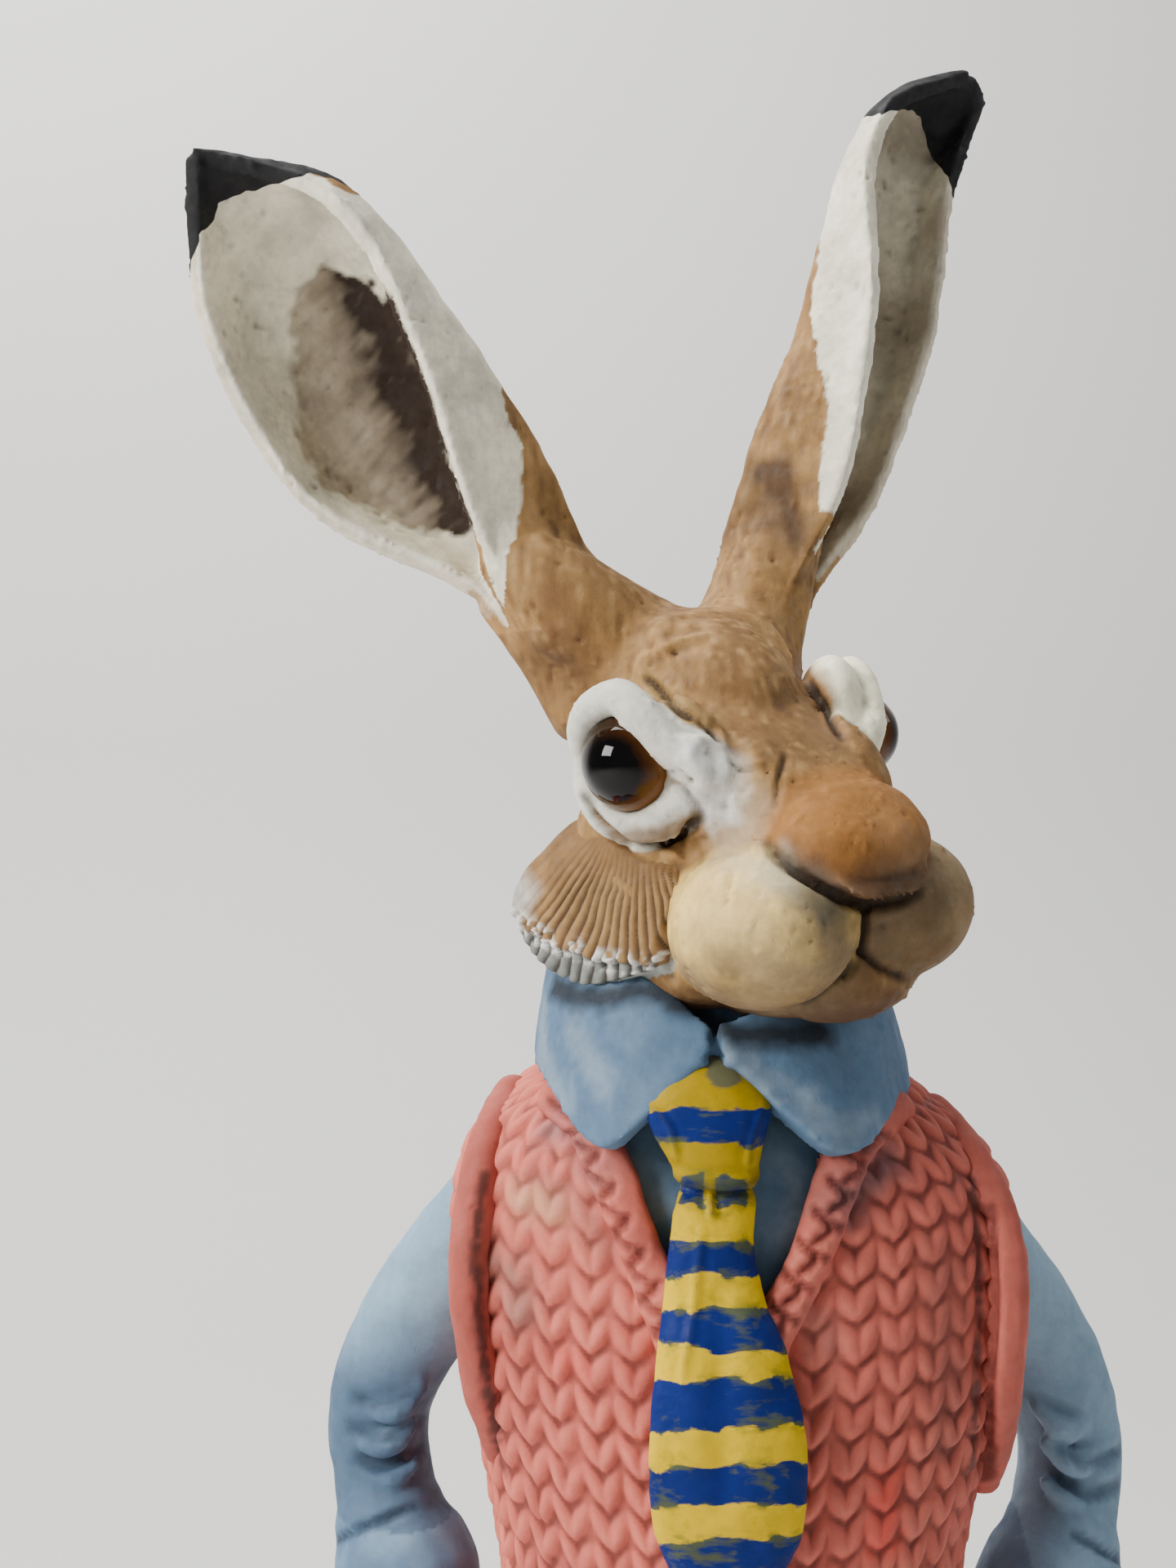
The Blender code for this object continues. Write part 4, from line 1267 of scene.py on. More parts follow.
GLASS = glass()
for side, title in ((-1, "right_eye"), (1, "left_eye")):
    place = np.array(eye_frame(side))
    turn, middle = place[:3, :3], place[:3, 3]
    rings, angles_off = [], []
    for off in (0.3, 2, *np.linspace(5, 175, 60), 178, 179.7):
        a = math.radians(off)
        dome = EYE_RADIUS + 0.5 * math.exp(-((off / 34) ** 4))
        around_axis = np.linspace(0, 2 * math.pi, 96, endpoint=False)
        across, up = np.sin(a) * np.cos(around_axis), np.sin(a) * np.sin(around_axis)
        ring = np.stack((across, up, np.full(96, math.cos(a))), 1)
        rings.append(middle + dome * ring @ turn.T)
        angles_off += [off] * 96
    eye = wrapped(rings[::-1], (0.2, 0.08, 0.02))
    eye.marks["off_axis"] = np.array(angles_off[::-1])
    # The side of the eye that takes the painted glow: lower right, opposite the key light.
    painted_glow_way = np.array((0.8, -0.25, -0.5))
    eye.marks["painted_glow"] = eye.normals @ (painted_glow_way / np.linalg.norm(painted_glow_way))
    finished(title + "_glass", eye, GLASS, node=title)

# %% [markdown]
# # The knitted vest
# The vest is a sheet of clay whose stitches were pressed one by one: two leaf-shaped petals that meet
# in a V, in rows that sag towards the middle. Pressing hundreds of leaves by hand calls for a
# formula: each point of the vest looks up the petals near it and takes the height of the highest.

# %% The shape of the chest
TORSO = (
    # height, half width, front, back, middle
    (222, 56, -47, 34, 0),
    (230, 57, -48, 34, 0),
    (242, 57.5, -49, 34, 0),
    (257, 60, -50, 34, 0),
    (282, 65, -48, 35, 0),
    (307, 70, -45, 37, 0),
    (331, 71.5, -42, 38, 0),
    (345, 69, -40, 38, -1),
    (356, 62, -37, 36, -3),
    (366, 51, -31, 33, -4),
    (375, 32, -26, 29, -4),
)
VEST_TOP = 372
V_NECK = ((-36, 384), (-31, 362), (-21, 336), (-7, 300), (6, 321), (15, 339), (19, 361), (22, 384))
torso_levels = np.array([tuple(row) for row in through(TORSO, 6)])


def torso_at(height, inset=0.0):
    """The five numbers of the torso's outline at any height."""
    row = [np.interp(height, torso_levels[:, 0], torso_levels[:, k]) for k in range(5)]
    return height, row[1] - inset, row[2] + inset, row[3] - inset, row[4]


def inside_torso(points):
    """How deep points lie in the chest: below 1 is inside."""
    _, half, front, back, middle = torso_at(points[:, 2])
    across = np.abs(points[:, 0] - middle) / half
    deep = np.where(points[:, 1] < 0, points[:, 1] / front, points[:, 1] / back)
    return (across**2.3 + np.abs(deep) ** 2.3) ** (1 / 2.3)


# %% Press the stitches
CORAL = (0.66, 0.145, 0.105)
STITCHES_ROUND = 38
STITCH_WIDTH = 9.7
STITCH_HEIGHT = 8.6
chances = np.random.default_rng(11).uniform(-1, 1, (128, 64, 5))


def petals(across, up):
    """Height of the knit at places measured in stitches round and rows up, from 0 to about 1."""
    best = np.full(len(across), 0.3)
    for step_c in (-1, 0, 1):
        for step_r in (-1, 0, 1):
            column, row = np.floor(across).astype(int) + step_c, np.floor(up).astype(int) + step_r
            for hand in (-1, 1):
                luck = chances[(column * 2 + (hand > 0)) % 128, row % 64]
                x = (across - column - 0.5 - hand * 0.235) * STITCH_WIDTH - 0.35 * luck[:, 0]
                z = (up - row - 0.5) * STITCH_HEIGHT - 0.5 * luck[:, 1]
                lean = np.radians(27 + 6 * luck[:, 2]) * hand
                along = x * np.sin(lean) + z * np.cos(lean)
                side = x * np.cos(lean) - z * np.sin(lean)
                share_up = along / (5.3 * (1 + 0.1 * luck[:, 3]))
                tip = np.clip(1 - share_up**2, 0.001, 1)
                width = 2.75 * (1 + 0.12 * luck[:, 4]) * tip**0.75
                swell = np.clip(1 - (side / width) ** 2, 0, None) ** 0.6
                best = np.maximum(best, swell * (0.78 - 0.3 * share_up) * tip**0.25)
    return best


around = 540
levels = np.linspace(221, VEST_TOP, 186)
turn = np.linspace(0, 2 * math.pi, around, endpoint=False)
closer_in_front = (turn - 0.45 * np.sin(turn)) / (2 * math.pi)
rings = []
for z in levels:
    ring = np.array(oval(*torso_at(z), count=720))
    ring = np.concatenate((ring, ring[:1]))
    places = closer_in_front * 720
    rings.append(np.stack([np.interp(places, np.arange(721), ring[:, k]) for k in range(3)], 1))
vest = wrapped(rings, CORAL)
first = vest.points[:around]
gaps = np.linalg.norm(np.roll(first, -1, axis=0) - first, axis=1)
share = np.tile(np.concatenate(([0], np.cumsum(gaps)[:-1])) / gaps.sum(), len(levels))
side_on = np.abs(vest.points[:, 0]) / 60
sag = 7 * (1 - np.clip(side_on, 0, 1)) * (vest.points[:, 1] < 0)
wander = 1.6 * uneven(vest.points, 34, 3)
rows_up = (vest.points[:, 2] - 219 + sag + wander) / STITCH_HEIGHT
knit = vest.evened(petals(share * STITCHES_ROUND + 0.08 * uneven(vest.points, 22, 4), rows_up), 1)[:, 0]
firmness = np.clip(0.9 + 0.4 * uneven(vest.points, 26, 5), 0.45, 1.2)
vest.push(-1.5 + 2.8 * knit * firmness + 0.12 * uneven(vest.points, 3, 6))
vest.refresh()


def worn_and_shaded_vest(clay):
    """Coral paint with paler rubbed places and darker patches, painted shade towards the hare's left side,
    grey smudges and a few red stains.
    """
    patch = uneven(clay.points, 17, 7)
    small = uneven(clay.points, 5, 8)
    laid(clay, (0.74, 0.215, 0.15), np.clip(0.5 * patch + 0.25 * small, 0, 0.55))
    laid(clay, (0.40, 0.085, 0.062), np.clip(-0.6 * patch - 0.35 * small, 0, 0.6))
    # Painted shade: darker towards the hare's left side, away from the key light.
    laid(clay, (0.34, 0.085, 0.06), np.clip((clay.points[:, 0] - 12) / 40, 0, 0.45))
    for line, radius, colour, strength in VEST_STAINS:
        daub(clay, seen(vest, line), radius, colour, strength, 1.6, 0.6, 9)


VEST_STAINS = (
    (((640, 1468), (672, 1476)), 4, (0.62, 0.38, 0.20), 0.5),
    (((604, 1545), (622, 1562), (640, 1600)), 5, (0.24, 0.15, 0.12), 0.55),
    (((690, 1375), (715, 1395), (740, 1418)), 5.5, (0.16, 0.13, 0.14), 0.65),
    (((1020, 1475), (1050, 1450), (1078, 1425)), 5, (0.13, 0.10, 0.11), 0.65),
    (((1000, 1440), (1030, 1470)), 4, (0.17, 0.14, 0.15), 0.5),
    (((1085, 1815), (1090, 1850), (1084, 1885)), 4, (0.62, 0.04, 0.03), 0.55),
    (((690, 1660), (700, 1672)), 3.5, (0.62, 0.07, 0.05), 0.4),
    (((660, 1440), (700, 1470), (745, 1530)), 3, (0.32, 0.12, 0.10), 0.4),
    (((1150, 1560), (1160, 1640), (1150, 1760)), 5, (0.28, 0.09, 0.07), 0.5),
    (((990, 1610), (1010, 1640)), 4, (0.20, 0.10, 0.09), 0.4),
)
vest.ready()
worn_and_shaded_vest(vest)

# %% Drop the sheet inside the V


def inside_v(points):
    corners = np.array(V_NECK, float)
    x, z = points[:, 0], points[:, 2]
    inside = np.zeros(len(points), bool)
    for (x0, z0), (x1, z1) in zip(corners, np.roll(corners, -1, axis=0)):
        crosses = (z0 > z) != (z1 > z)
        at = (x1 - x0) * (z - z0) / np.where(z1 == z0, 1e-9, z1 - z0) + x0
        inside ^= crosses & (x < at)
    return inside & (points[:, 1] < -15)


centres = vest.points[vest.faces].mean(axis=1)
hollows(vest, 4, 2.2)
VEST_PAINT = painted("painted_vest", mottle=0.14, wash=0.75, wash_and_shade_colour=(0.11, 0.022, 0.018), rubbed_and_highlit=0.2)

# %% Bands of the vest
band_forms = [
    roll([(-46, -22, 366, 4), (-35, -35, 358, 5.5), (-24, -43, 333, 5.5), (-10, -48, 300, 5.5)]),
    roll([(41, -22, 364, 4), (26, -37, 356, 5.5), (14, -44, 330, 5.5), (-4, -48, 299, 5.5)]),
]
for side in (1, -1):
    low = 4 if side > 0 else 0
    armhole = [
        (side * 56 - low, 0, 362 - low, 5),
        (side * 61 - low / 2, -18, 352 - low, 5),
        (side * 65, -25, 328, 5),
        (side * 64, -25, 298, 5),
        (side * 62, -12, 270, 5),
        (side * 63, 10, 280, 5),
        (side * 66, 19, 310, 5),
        (side * 62 - low / 2, 18, 346 - low, 5),
        (side * 56 - low, 0, 362 - low, 5),
    ]
    band_forms.append(roll(armhole))
hem = [oval(z, 58.5 + out, -50 - out, 36 + out) for z, out in ((218, -1), (221, 1), (230, 1), (233, -1))]
band_forms.append(loft(hem))
bands = pressed_together(band_forms, 1.1, 2, CORAL)
depth_in = inside_torso(bands.points)
squash = np.where(depth_in > 1, 1 + (depth_in - 1) * 0.62, depth_in) / depth_in
middle_x = torso_at(bands.points[:, 2])[4]
at_neck = np.abs(bands.points[:, 0]) < 50
squashed = middle_x + (bands.points[:, 0] - middle_x) * squash
bands.points[:, 0] = np.where(at_neck, squashed, bands.points[:, 0])
bands.points[:, 1] = np.where(at_neck, bands.points[:, 1] * squash, bands.points[:, 1])
low_left = (bands.points[:, 0] < -50) & (bands.points[:, 2] > 255)
height = bands.points[:, 2]
slim = 3 * np.clip((315 - height) / 25, 0, 1) + 4 * np.clip((292 - height) / 20, 0, 1)
bands.points[:, 0] += slim * low_left
bands.refresh()
bands.push(0.6 * uneven(bands.points, 11, 12) + 0.45 * uneven(bands.points, 4.5, 13))
bands.ready()
BAND_GROOVES = []
for start, end in (((688, 1352), (826, 1655)), ((1078, 1372), (936, 1655))):
    for k in range(15):
        share_down = (k + 0.5) / 15
        x, y = [start[i] + (end[i] - start[i]) * share_down for i in (0, 1)]
        hand = 1 if k % 2 else -1
        stroke = ((x - 4 + 16 * hand, y - 14), (x + 6 * hand, y - 2), (x + 2 - 14 * hand, y + 10))
        line = seen(bands, stroke)
        mark(bands, line, 1.1, 1.5)
        BAND_GROOVES.append((line, 1.0))
for x in (1203, 1214):
    line = seen(bands, [(x, 1480), (x + 4, 1600), (x - 3, 1720), (x + 2, 1840)])
    mark(bands, line, 1.2, 1.5)
    BAND_GROOVES.append((line, 1.2))
for y in range(1490, 1880, 34):
    mark(bands, seen(bands, [(1178, y + 8), (1196, y), (1216, y + 10)]), 1.1, 1.2)
bands.refresh()
worn_and_shaded_vest(bands)
laid(bands, (0.30, 0.062, 0.046), np.where(bands.points[:, 0] < -50, 0.7, 0.28))
# Painted shade in the pressed grooves of the bands.
for line, radius in BAND_GROOVES:
    daub(bands, line, radius, (0.12, 0.025, 0.02), 0.75, 1.2, 0.4)
# Painted shade in the deep groove where the bands meet the knit.
for line in (((593, 1437), (582, 1527), (585, 1573), (592, 1660), (603, 1727), (616, 1800)),
             ((1190, 1450), (1198, 1560), (1197, 1680), (1190, 1800))):
    for clay in (bands, vest):
        daub(clay, seen(clay, line, 8), 1.3, (0.05, 0.022, 0.02), 0.8, 1.2, 0.9, 14)
hollows(bands, 5)
deep = inside_torso(bands.points[bands.faces].mean(axis=1)) < 0.9
finished("vest_bands", bands, VEST_PAINT, keep=~deep)
finished("vest_knit", vest, VEST_PAINT, keep=~inside_v(centres))

# %% [markdown]
# # Shirt, sleeves and collar
# The shirt shows in the V of the vest, at the sleeves and at the collar. The sleeves are rolls that
# bend at the elbow, with three folds where the cloth bunches, and a turned-back cuff. The collar is
# two sheets folded down from the neck.

# %% Sleeves and cuffs
SHIRT_BLUE = (0.112, 0.195, 0.30)


def arm_spot(side, x, y, z, *more):
    return (side * x, y, z - (5 if side > 0 else 0), *more)


shirt_forms = [loft([oval(*torso_at(z, 3)) for z in np.linspace(224, 374, 40)])]
for side in (-1, 1):
    sleeve = (
        (58, 6, 334, 14.5),
        (73, 12, 313, 15.5),
        (87, 17, 291, 14.5),
        (92.5, 19, 272, 13.4),
        (90.5, 15, 255, 13.4),
        (86, 8, 242, 13.5),
    )
    shirt_forms.append(roll([arm_spot(side, *row) for row in sleeve], around=36))
    for height, reach in ((281, 88), (272, 90), (262, 90)):
        fold = ((reach - 8, 4, height + 4, 2), (reach - 1, 3, height - 1, 3), (reach + 9, 10, height, 2))
        shirt_forms.append(roll([arm_spot(side, *row) for row in fold]))
    cuff = ((88, 10, 248, 15), (86, 8, 243, 17.5), (82, 4, 234, 18.5), (79, 1, 229, 16.5))
    shirt_forms.append(roll([arm_spot(side, *row) for row in cuff], around=36))
shirt = pressed_together(shirt_forms, 1.4, 3, SHIRT_BLUE)


def worn_and_shaded_shirt(clay, seed):
    """Finger dents, pale scuffs and darker brushed patches, with painted shade low on the hare's right
    sleeve and painted light on its left sleeve.
    """
    clay.push(0.55 * uneven(clay.points, 13, seed) + 0.25 * uneven(clay.points, 5, seed + 1))
    clay.ready()
    patch = uneven(clay.points, 12, seed + 2)
    brushed = uneven(clay.points * (1, 1, 0.3), 2.6, seed + 3)
    laid(clay, (0.21, 0.32, 0.42), np.clip(0.45 * patch + 0.25 * brushed, 0, 0.6))
    laid(clay, (0.065, 0.12, 0.20), np.clip(-0.45 * patch - 0.25 * brushed, 0, 0.6))
    # Painted shade low on the hare's right sleeve, above the cuff.
    low_left = np.clip((300 - clay.points[:, 2]) / 22, 0, 0.7) * (clay.points[:, 0] < -60)
    laid(clay, (0.05, 0.09, 0.15), low_left * (clay.points[:, 2] > 252))
    # Painted light: the hare's left sleeve, on the far side, is paler.
    laid(clay, (0.25, 0.37, 0.47), 0.6 * (clay.points[:, 0] > 76))
    hollows(clay, 6)


worn_and_shaded_shirt(shirt, 91)
# Painted light on the upper outer sleeves, where the key light falls.
outward = np.clip((np.abs(shirt.points[:, 0]) - 62) / 14, 0, 0.6)
laid(shirt, (0.30, 0.45, 0.56), outward * np.clip((shirt.points[:, 2] - 285) / 25, 0, 1))
# Folds pressed in the sleeves, with painted shade in each crease.
for pixels in (
    ((436, 1712), (470, 1722), (512, 1706)),
    ((430, 1748), (468, 1760), (515, 1740)),
    ((440, 1786), (480, 1792), (516, 1776)),
    ((1300, 1774), (1335, 1790), (1372, 1776)),
    ((1298, 1812), (1332, 1830), (1370, 1818)),
):
    mark(shirt, seen(shirt, pixels), 1.6, 1.6)
    daub(shirt, seen(shirt, pixels), 1.6, (0.03, 0.045, 0.07), 0.6, 1.5)
# Creases at the cuffs, with painted shade in them.
for pixels in (((414, 1886), (455, 1868), (507, 1845)), ((1316, 1880), (1350, 1900), (1378, 1915))):
    mark(shirt, seen(shirt, pixels), 1.0, 1.4)
    daub(shirt, seen(shirt, pixels), 1.2, (0.02, 0.03, 0.05), 0.8, 1.2)
for pixels in (
    ((745, 1400), (770, 1440), (800, 1490)),
    ((760, 1420), (790, 1450), (812, 1480)),
    ((955, 1420), (975, 1460), (965, 1520)),
):
    daub(shirt, seen(shirt, pixels), 3, (0.30, 0.36, 0.40), 0.35, 1.5, 0.6)
shirt.refresh()
middle = shirt.points[shirt.faces].mean(axis=1)
off_middle = np.abs(middle[:, 0])
shows_in_v = (middle[:, 1] < -12) & (off_middle < 34)
hidden = (inside_torso(middle) < 1) & (off_middle < 66) & ~shows_in_v & (middle[:, 2] < 366)
SHIRT_PAINT = painted("painted_shirt", mottle=0.14, wash=0.45, wash_and_shade_colour=(0.03, 0.045, 0.07), rubbed_and_highlit=0.12)
finished("shirt_and_sleeves", shirt, SHIRT_PAINT, keep=~hidden)

# %% Collar
collar_forms = [roll([(0, 4, 372, 31), (0, 2, 386, 30), (2, -2, 400, 28)], around=48)]
COLLAR_EDGES = (
    # where each wing leaves the neck, and where it ends
    (
        [(0, 33, 397), (-31, 24, 400), (-46, 2, 400), (-39, -21, 399), (-22, -35, 397), (-8, -41, 386)],
        [(0, 43, 373), (-41, 29, 371), (-50, 3, 374), (-47, -24, 370), (-33, -47, 359), (-9, -48, 380)],
    ),
    (
        [(0, 33, 397), (30, 24, 395), (39, 2, 393), (31, -21, 394), (14, -36, 393), (-6, -41, 386)],
        [(0, 43, 373), (38, 29, 368), (46, 3, 369), (40, -24, 364), (21, -47, 358), (-5, -48, 380)],
    ),
)
for high, low in COLLAR_EDGES:
    top, bottom = through(high, 8), through(low, 8)
    rows = []
    for k in range(9):
        share_down = k / 8
        bulge = Vector((0, 0, 3 * math.sin(math.pi * share_down)))
        row = [a.lerp(b, share_down) + bulge for a, b in zip(top, bottom)]
        rows.append(row if high[1][0] > 0 else row[::-1])
    collar_forms.append(sheet(rows, 6))
collar = pressed_together(collar_forms, 1.15, 3, SHIRT_BLUE)
worn_and_shaded_shirt(collar, 97)
laid(collar, (0.07, 0.13, 0.215), np.full(len(collar.points), 0.5))
for pixels in (((872, 1272), (878, 1290), (874, 1306)), ((862, 1290), (880, 1296), (896, 1288))):
    mark(collar, seen(collar, pixels), 1.2, 1.2)
for pixels in (
    ((664, 1240), (668, 1300), (694, 1350)),
    ((700, 1262), (740, 1330)),
    ((985, 1345), (1025, 1385), (1070, 1368)),
    ((900, 1290), (940, 1330)),
):
    daub(collar, seen(collar, pixels), 3, (0.33, 0.40, 0.45), 0.35, 1.6, 0.7)
# Painted shadow of the chin and the ruff on the collar.
SHADOW_UNDER_CHIN = ((680, 1212), (740, 1222), (800, 1212), (850, 1240), (890, 1262), (950, 1268), (1010, 1266))
daub(collar, seen(collar, SHADOW_UNDER_CHIN), 3.2, (0.012, 0.014, 0.018), 0.9, 1.2)
collar.refresh()
finished("collar", collar, SHIRT_PAINT)

# %% [markdown]
# # The tie
# A knot and a blade of clay that hangs down the chest, painted in hand-brushed bands of yellow and
# blue. Where the two paints overlap they turn greenish.

# %% Knot and blade
TIE_ROWS = (
    # height, middle, half width, front
    (383, -10, 1.5, -42),
    (381, -10, 4, -43),
    (376, -9.5, 9, -48),
    (369, -9, 14.3, -51),
    (362, -8.5, 13, -52),
    (353, -7, 9.5, -50),
    (349.5, -7, 8, -48),
    (346, -7, 9, -50),
    (336, -8, 9.8, -51),
    (323, -7.3, 12, -53),
    (312, -6, 15, -56),
    (300, -5.2, 17, -58),
    (288, -4.8, 17.8, -59),
    (275, -4.8, 16.8, -59),
    (262, -5.2, 10.5, -58),
    (251, -5.8, 2.5, -56),
    (249.5, -5.8, 0.4, -55),
)
tie_levels = np.array([tuple(row) for row in through(TIE_ROWS, 6)])
tie_levels = tie_levels[np.argsort(tie_levels[:, 0])]
rings = []
for z in np.linspace(249.5, 383, 240):
    middle_x, half, front = [np.interp(z, tie_levels[:, 0], tie_levels[:, k]) for k in (1, 2, 3)]
    angle = np.linspace(0, 2 * math.pi, 100, endpoint=False)
    thick = 5 * min(1, half / 6)
    across, deep = np.cos(angle), np.sin(angle)
    rings.append(np.stack((middle_x + half * across, front + 5 - thick * deep, np.full(100, z)), 1))
tie = wrapped(rings, (0.6, 0.45, 0.03))
tie.ready()
TIE_MARKS = (
    (1.4, 2.0, ((822, 1438), (850, 1446), (880, 1449), (915, 1444), (932, 1436))),
    (0.9, 1.2, ((868, 1446), (870, 1468), (872, 1492))),
    (0.8, 0.6, ((795, 1350), (820, 1380), (830, 1420))),
    (0.8, 0.5, ((935, 1355), (920, 1400), (915, 1435))),
    (1.0, 0.5, ((860, 1500), (850, 1600), (835, 1700))),
    (3.5, -0.9, ((880, 1560), (885, 1700), (890, 1840))),
)
for width, depth, pixels in TIE_MARKS:
    mark(tie, seen(tie, pixels), width, depth)
dents = 0.45 * uneven(tie.points, 9, 81) + 0.2 * uneven(tie.points, 3.5, 82)
tie.push(dents + 0.07 * uneven(tie.points, 1.5, 83))
tie.refresh()
hollows(tie, 6)

# %% Hand-brushed bands
BLUE_BANDS = (
    # upper and lower edge on the left of the tie, then on the right, in pixels
    (1360, 1398, 1355, 1402),
    (1443, 1474, 1440, 1480),
    (1521, 1562, 1519, 1560),
    (1600, 1645, 1606, 1661),
    (1690, 1757, 1688, 1742),
    (1797, 1846, 1792, 1840),
    (1889, 1960, 1880, 1960),
    (2010, 2060, 2000, 2060),
)
pixels = as_seen(tie.points)
over = np.clip((pixels[:, 0] - 800) / 180, 0, 1)
wobble = 6 * uneven(tie.points, 7, 84) + 4.5 * uneven(tie.points, 2.6, 85)
inside_blue = np.full(len(tie.points), -40.0)
for left_top, left_low, right_top, right_low in BLUE_BANDS:
    top = left_top + (right_top - left_top) * over
    low = left_low + (right_low - left_low) * over
    down = pixels[:, 1] + wobble
    if left_top == 1443:
        dabs = np.minimum(np.abs(pixels[:, 0] - 848) - 15, np.abs(pixels[:, 0] - 896) - 20)
        inside_blue = np.maximum(inside_blue, np.minimum(np.minimum(down - top, low - down), -dabs))
    else:
        inside_blue = np.maximum(inside_blue, np.minimum(down - top, low - down))
tie.marks["blue"] = inside_blue / 10
dry_brush = 0.75 * uneven(tie.points * (0.5, 1, 1), 4.5, 86) + 0.35 * uneven(tie.points, 2, 87)
tie.marks["thin"] = np.clip(dry_brush, -1, 1)
tie.marks["knot"] = np.clip((tie.points[:, 2] - 344) / 6, 0, 1)
tie.marks["knot_top"] = np.clip(1 - np.linalg.norm(pixels - np.array((888, 1308)), axis=1) / 30, 0, 1)


def tie_paint():
    look = painted("painted_tie", mottle=0.12, wash=0.5, wash_and_shade_colour=(0.02, 0.025, 0.03), rubbed_and_highlit=0.1,
                   grain=0.06, pores=0.08, drag=0.14, stretch=(0.25, 1, 1), rough=(0.42, 0.62))
    tree = look.node_tree
    tree.nodes["Principled BSDF"].inputs["Specular IOR Level"].default_value = 0.12
    blue = node(tree, "ShaderNodeAttribute", attribute_name="blue").outputs["Fac"]
    thin = node(tree, "ShaderNodeAttribute", attribute_name="thin").outputs["Fac"]
    top = node(tree, "ShaderNodeAttribute", attribute_name="knot_top").outputs["Fac"]
    place = node(tree, "ShaderNodeTexCoord").outputs["Object"]
    bristle = between(tree, noise(tree, place, 520, 3, 0.65, (0.22, 1, 1)), 0.3, 0.7, -1, 1)
    fine = between(tree, noise(tree, place, 1100, 2, 0.6, (0.4, 1, 0.4)), 0.3, 0.7, -1, 1)
    edge = sum_of(tree, "ADD", blue, sum_of(tree, "MULTIPLY", bristle, 0.3))
    mask = between(tree, edge, -0.08, 0.16)
    thinned = sum_of(tree, "ADD", thin, sum_of(tree, "MULTIPLY", fine, 0.4))
    sparse = between(tree, thinned, 0.1, 0.9, 0, 0.55)
    yellow = mixed(tree, "MIX", sparse, (0.74, 0.49, 0.0), (0.40, 0.28, 0.0))
    knot = node(tree, "ShaderNodeAttribute", attribute_name="knot").outputs["Fac"]
    yellow = mixed(tree, "MIX", sum_of(tree, "MULTIPLY", knot, 0.75), yellow, (0.30, 0.20, 0.0))
    near_edge = between(tree, blue, -1.1, -0.1, 0, 1)
    overlap = between(tree, sum_of(tree, "ADD", thin, bristle), 0.15, 0.9, 0, 0.75)
    green_yellow = sum_of(tree, "MULTIPLY", near_edge, overlap)
    yellow = mixed(tree, "MIX", green_yellow, yellow, (0.16, 0.165, 0.03))
    worn = sum_of(tree, "ADD", thin, sum_of(tree, "MULTIPLY", bristle, 0.55))
    rim = between(tree, blue, 0.0, 1.6, 0.35, -0.25)
    bare = between(tree, sum_of(tree, "ADD", worn, rim), 0.0, 0.6, 0, 0.9)
    deep = mixed(tree, "MIX", bare, (0.007, 0.020, 0.15), (0.085, 0.10, 0.045))
    colour = mixed(tree, "MIX", mask, yellow, deep)
    dab = sum_of(tree, "ADD", top, sum_of(tree, "MULTIPLY", bristle, 0.12))
    colour = mixed(tree, "MIX", between(tree, dab, 0.1, 0.3, 0, 0.8), colour, (0.06, 0.09, 0.08))
    tree.links.new(colour, tree.nodes["thin_paint_and_shade"].inputs["Colour"])
    return look


finished("tie", tie, tie_paint())

# %% [markdown]
# # Paws, trousers, feet and base
# The photograph ends at the hips. Below them the figure is finished plainer: paws of four fingers and
# a thumb on the hips, plain trousers that gather over bare feet, and a low oval base.

# %% Paws
paw_forms = []
for side in (-1, 1):
    palm = ((81, 3, 234, 10), (72, -6, 218, 9.5), (62, -14, 208, 10.5))
    paw_forms.append(roll([arm_spot(side, *row) for row in palm]))
    for finger in range(4):
        fall = 7.4 * finger
        reach = (0, 4, 3, -3)[finger]
        bone = (
            (64, -18, 213 - fall * 0.7, 4.8),
            (54, -33, 212 - fall, 4.6),
            (44 - reach, -42, 206 - fall * 1.1, 4),
        )
        paw_forms.append(roll([arm_spot(side, *row) for row in bone]))
    thumb = ((68, -2, 216, 5.5), (62, 14, 213, 5), (54, 25, 209, 4.4))
    paw_forms.append(roll([arm_spot(side, *row) for row in thumb]))
paws = pressed_together(paw_forms, 1.25, 2, FUR)
hollows(paws, 5)
finished("paws", paws, CLAY_FUR)

# %% Trousers
SEAT = ((168, 34, -24, 26), (178, 46, -32, 32), (195, 53, -38, 36), (212, 54, -42, 35), (226, 53, -44, 32))
trouser_forms = [loft([oval(*row) for row in through(SEAT, 3)])]
for side in (1, -1):
    leg = ((26, -3, 194, 27), (29, -4, 150, 24), (31, -5, 118, 21.5), (32, -2, 80, 20), (33, 0, 44, 18.5),
           (33, 0, 33, 19))
    trouser_forms.append(roll([(side * x, y, z, r) for x, y, z, r in leg], around=40))
    for height, reach in ((31, 16.5), (41, 15), (52, 15.5)):
        gather = []
        for degrees in range(0, 361, 30):
            a = math.radians(degrees)
            rise = height + 2 * math.sin(a + height)
            gather.append((side * 33 + reach * math.cos(a), reach * math.sin(a), rise, 4))
        trouser_forms.append(roll(gather, steps=3))
trousers = pressed_together(trouser_forms, 2.0, 3, (0.075, 0.06, 0.048))
hollows(trousers, 5)
TROUSER_PAINT = painted("painted_trousers", mottle=0.2, wash=0.5, rubbed_and_highlit=0.3)
finished("trousers", trousers, TROUSER_PAINT)

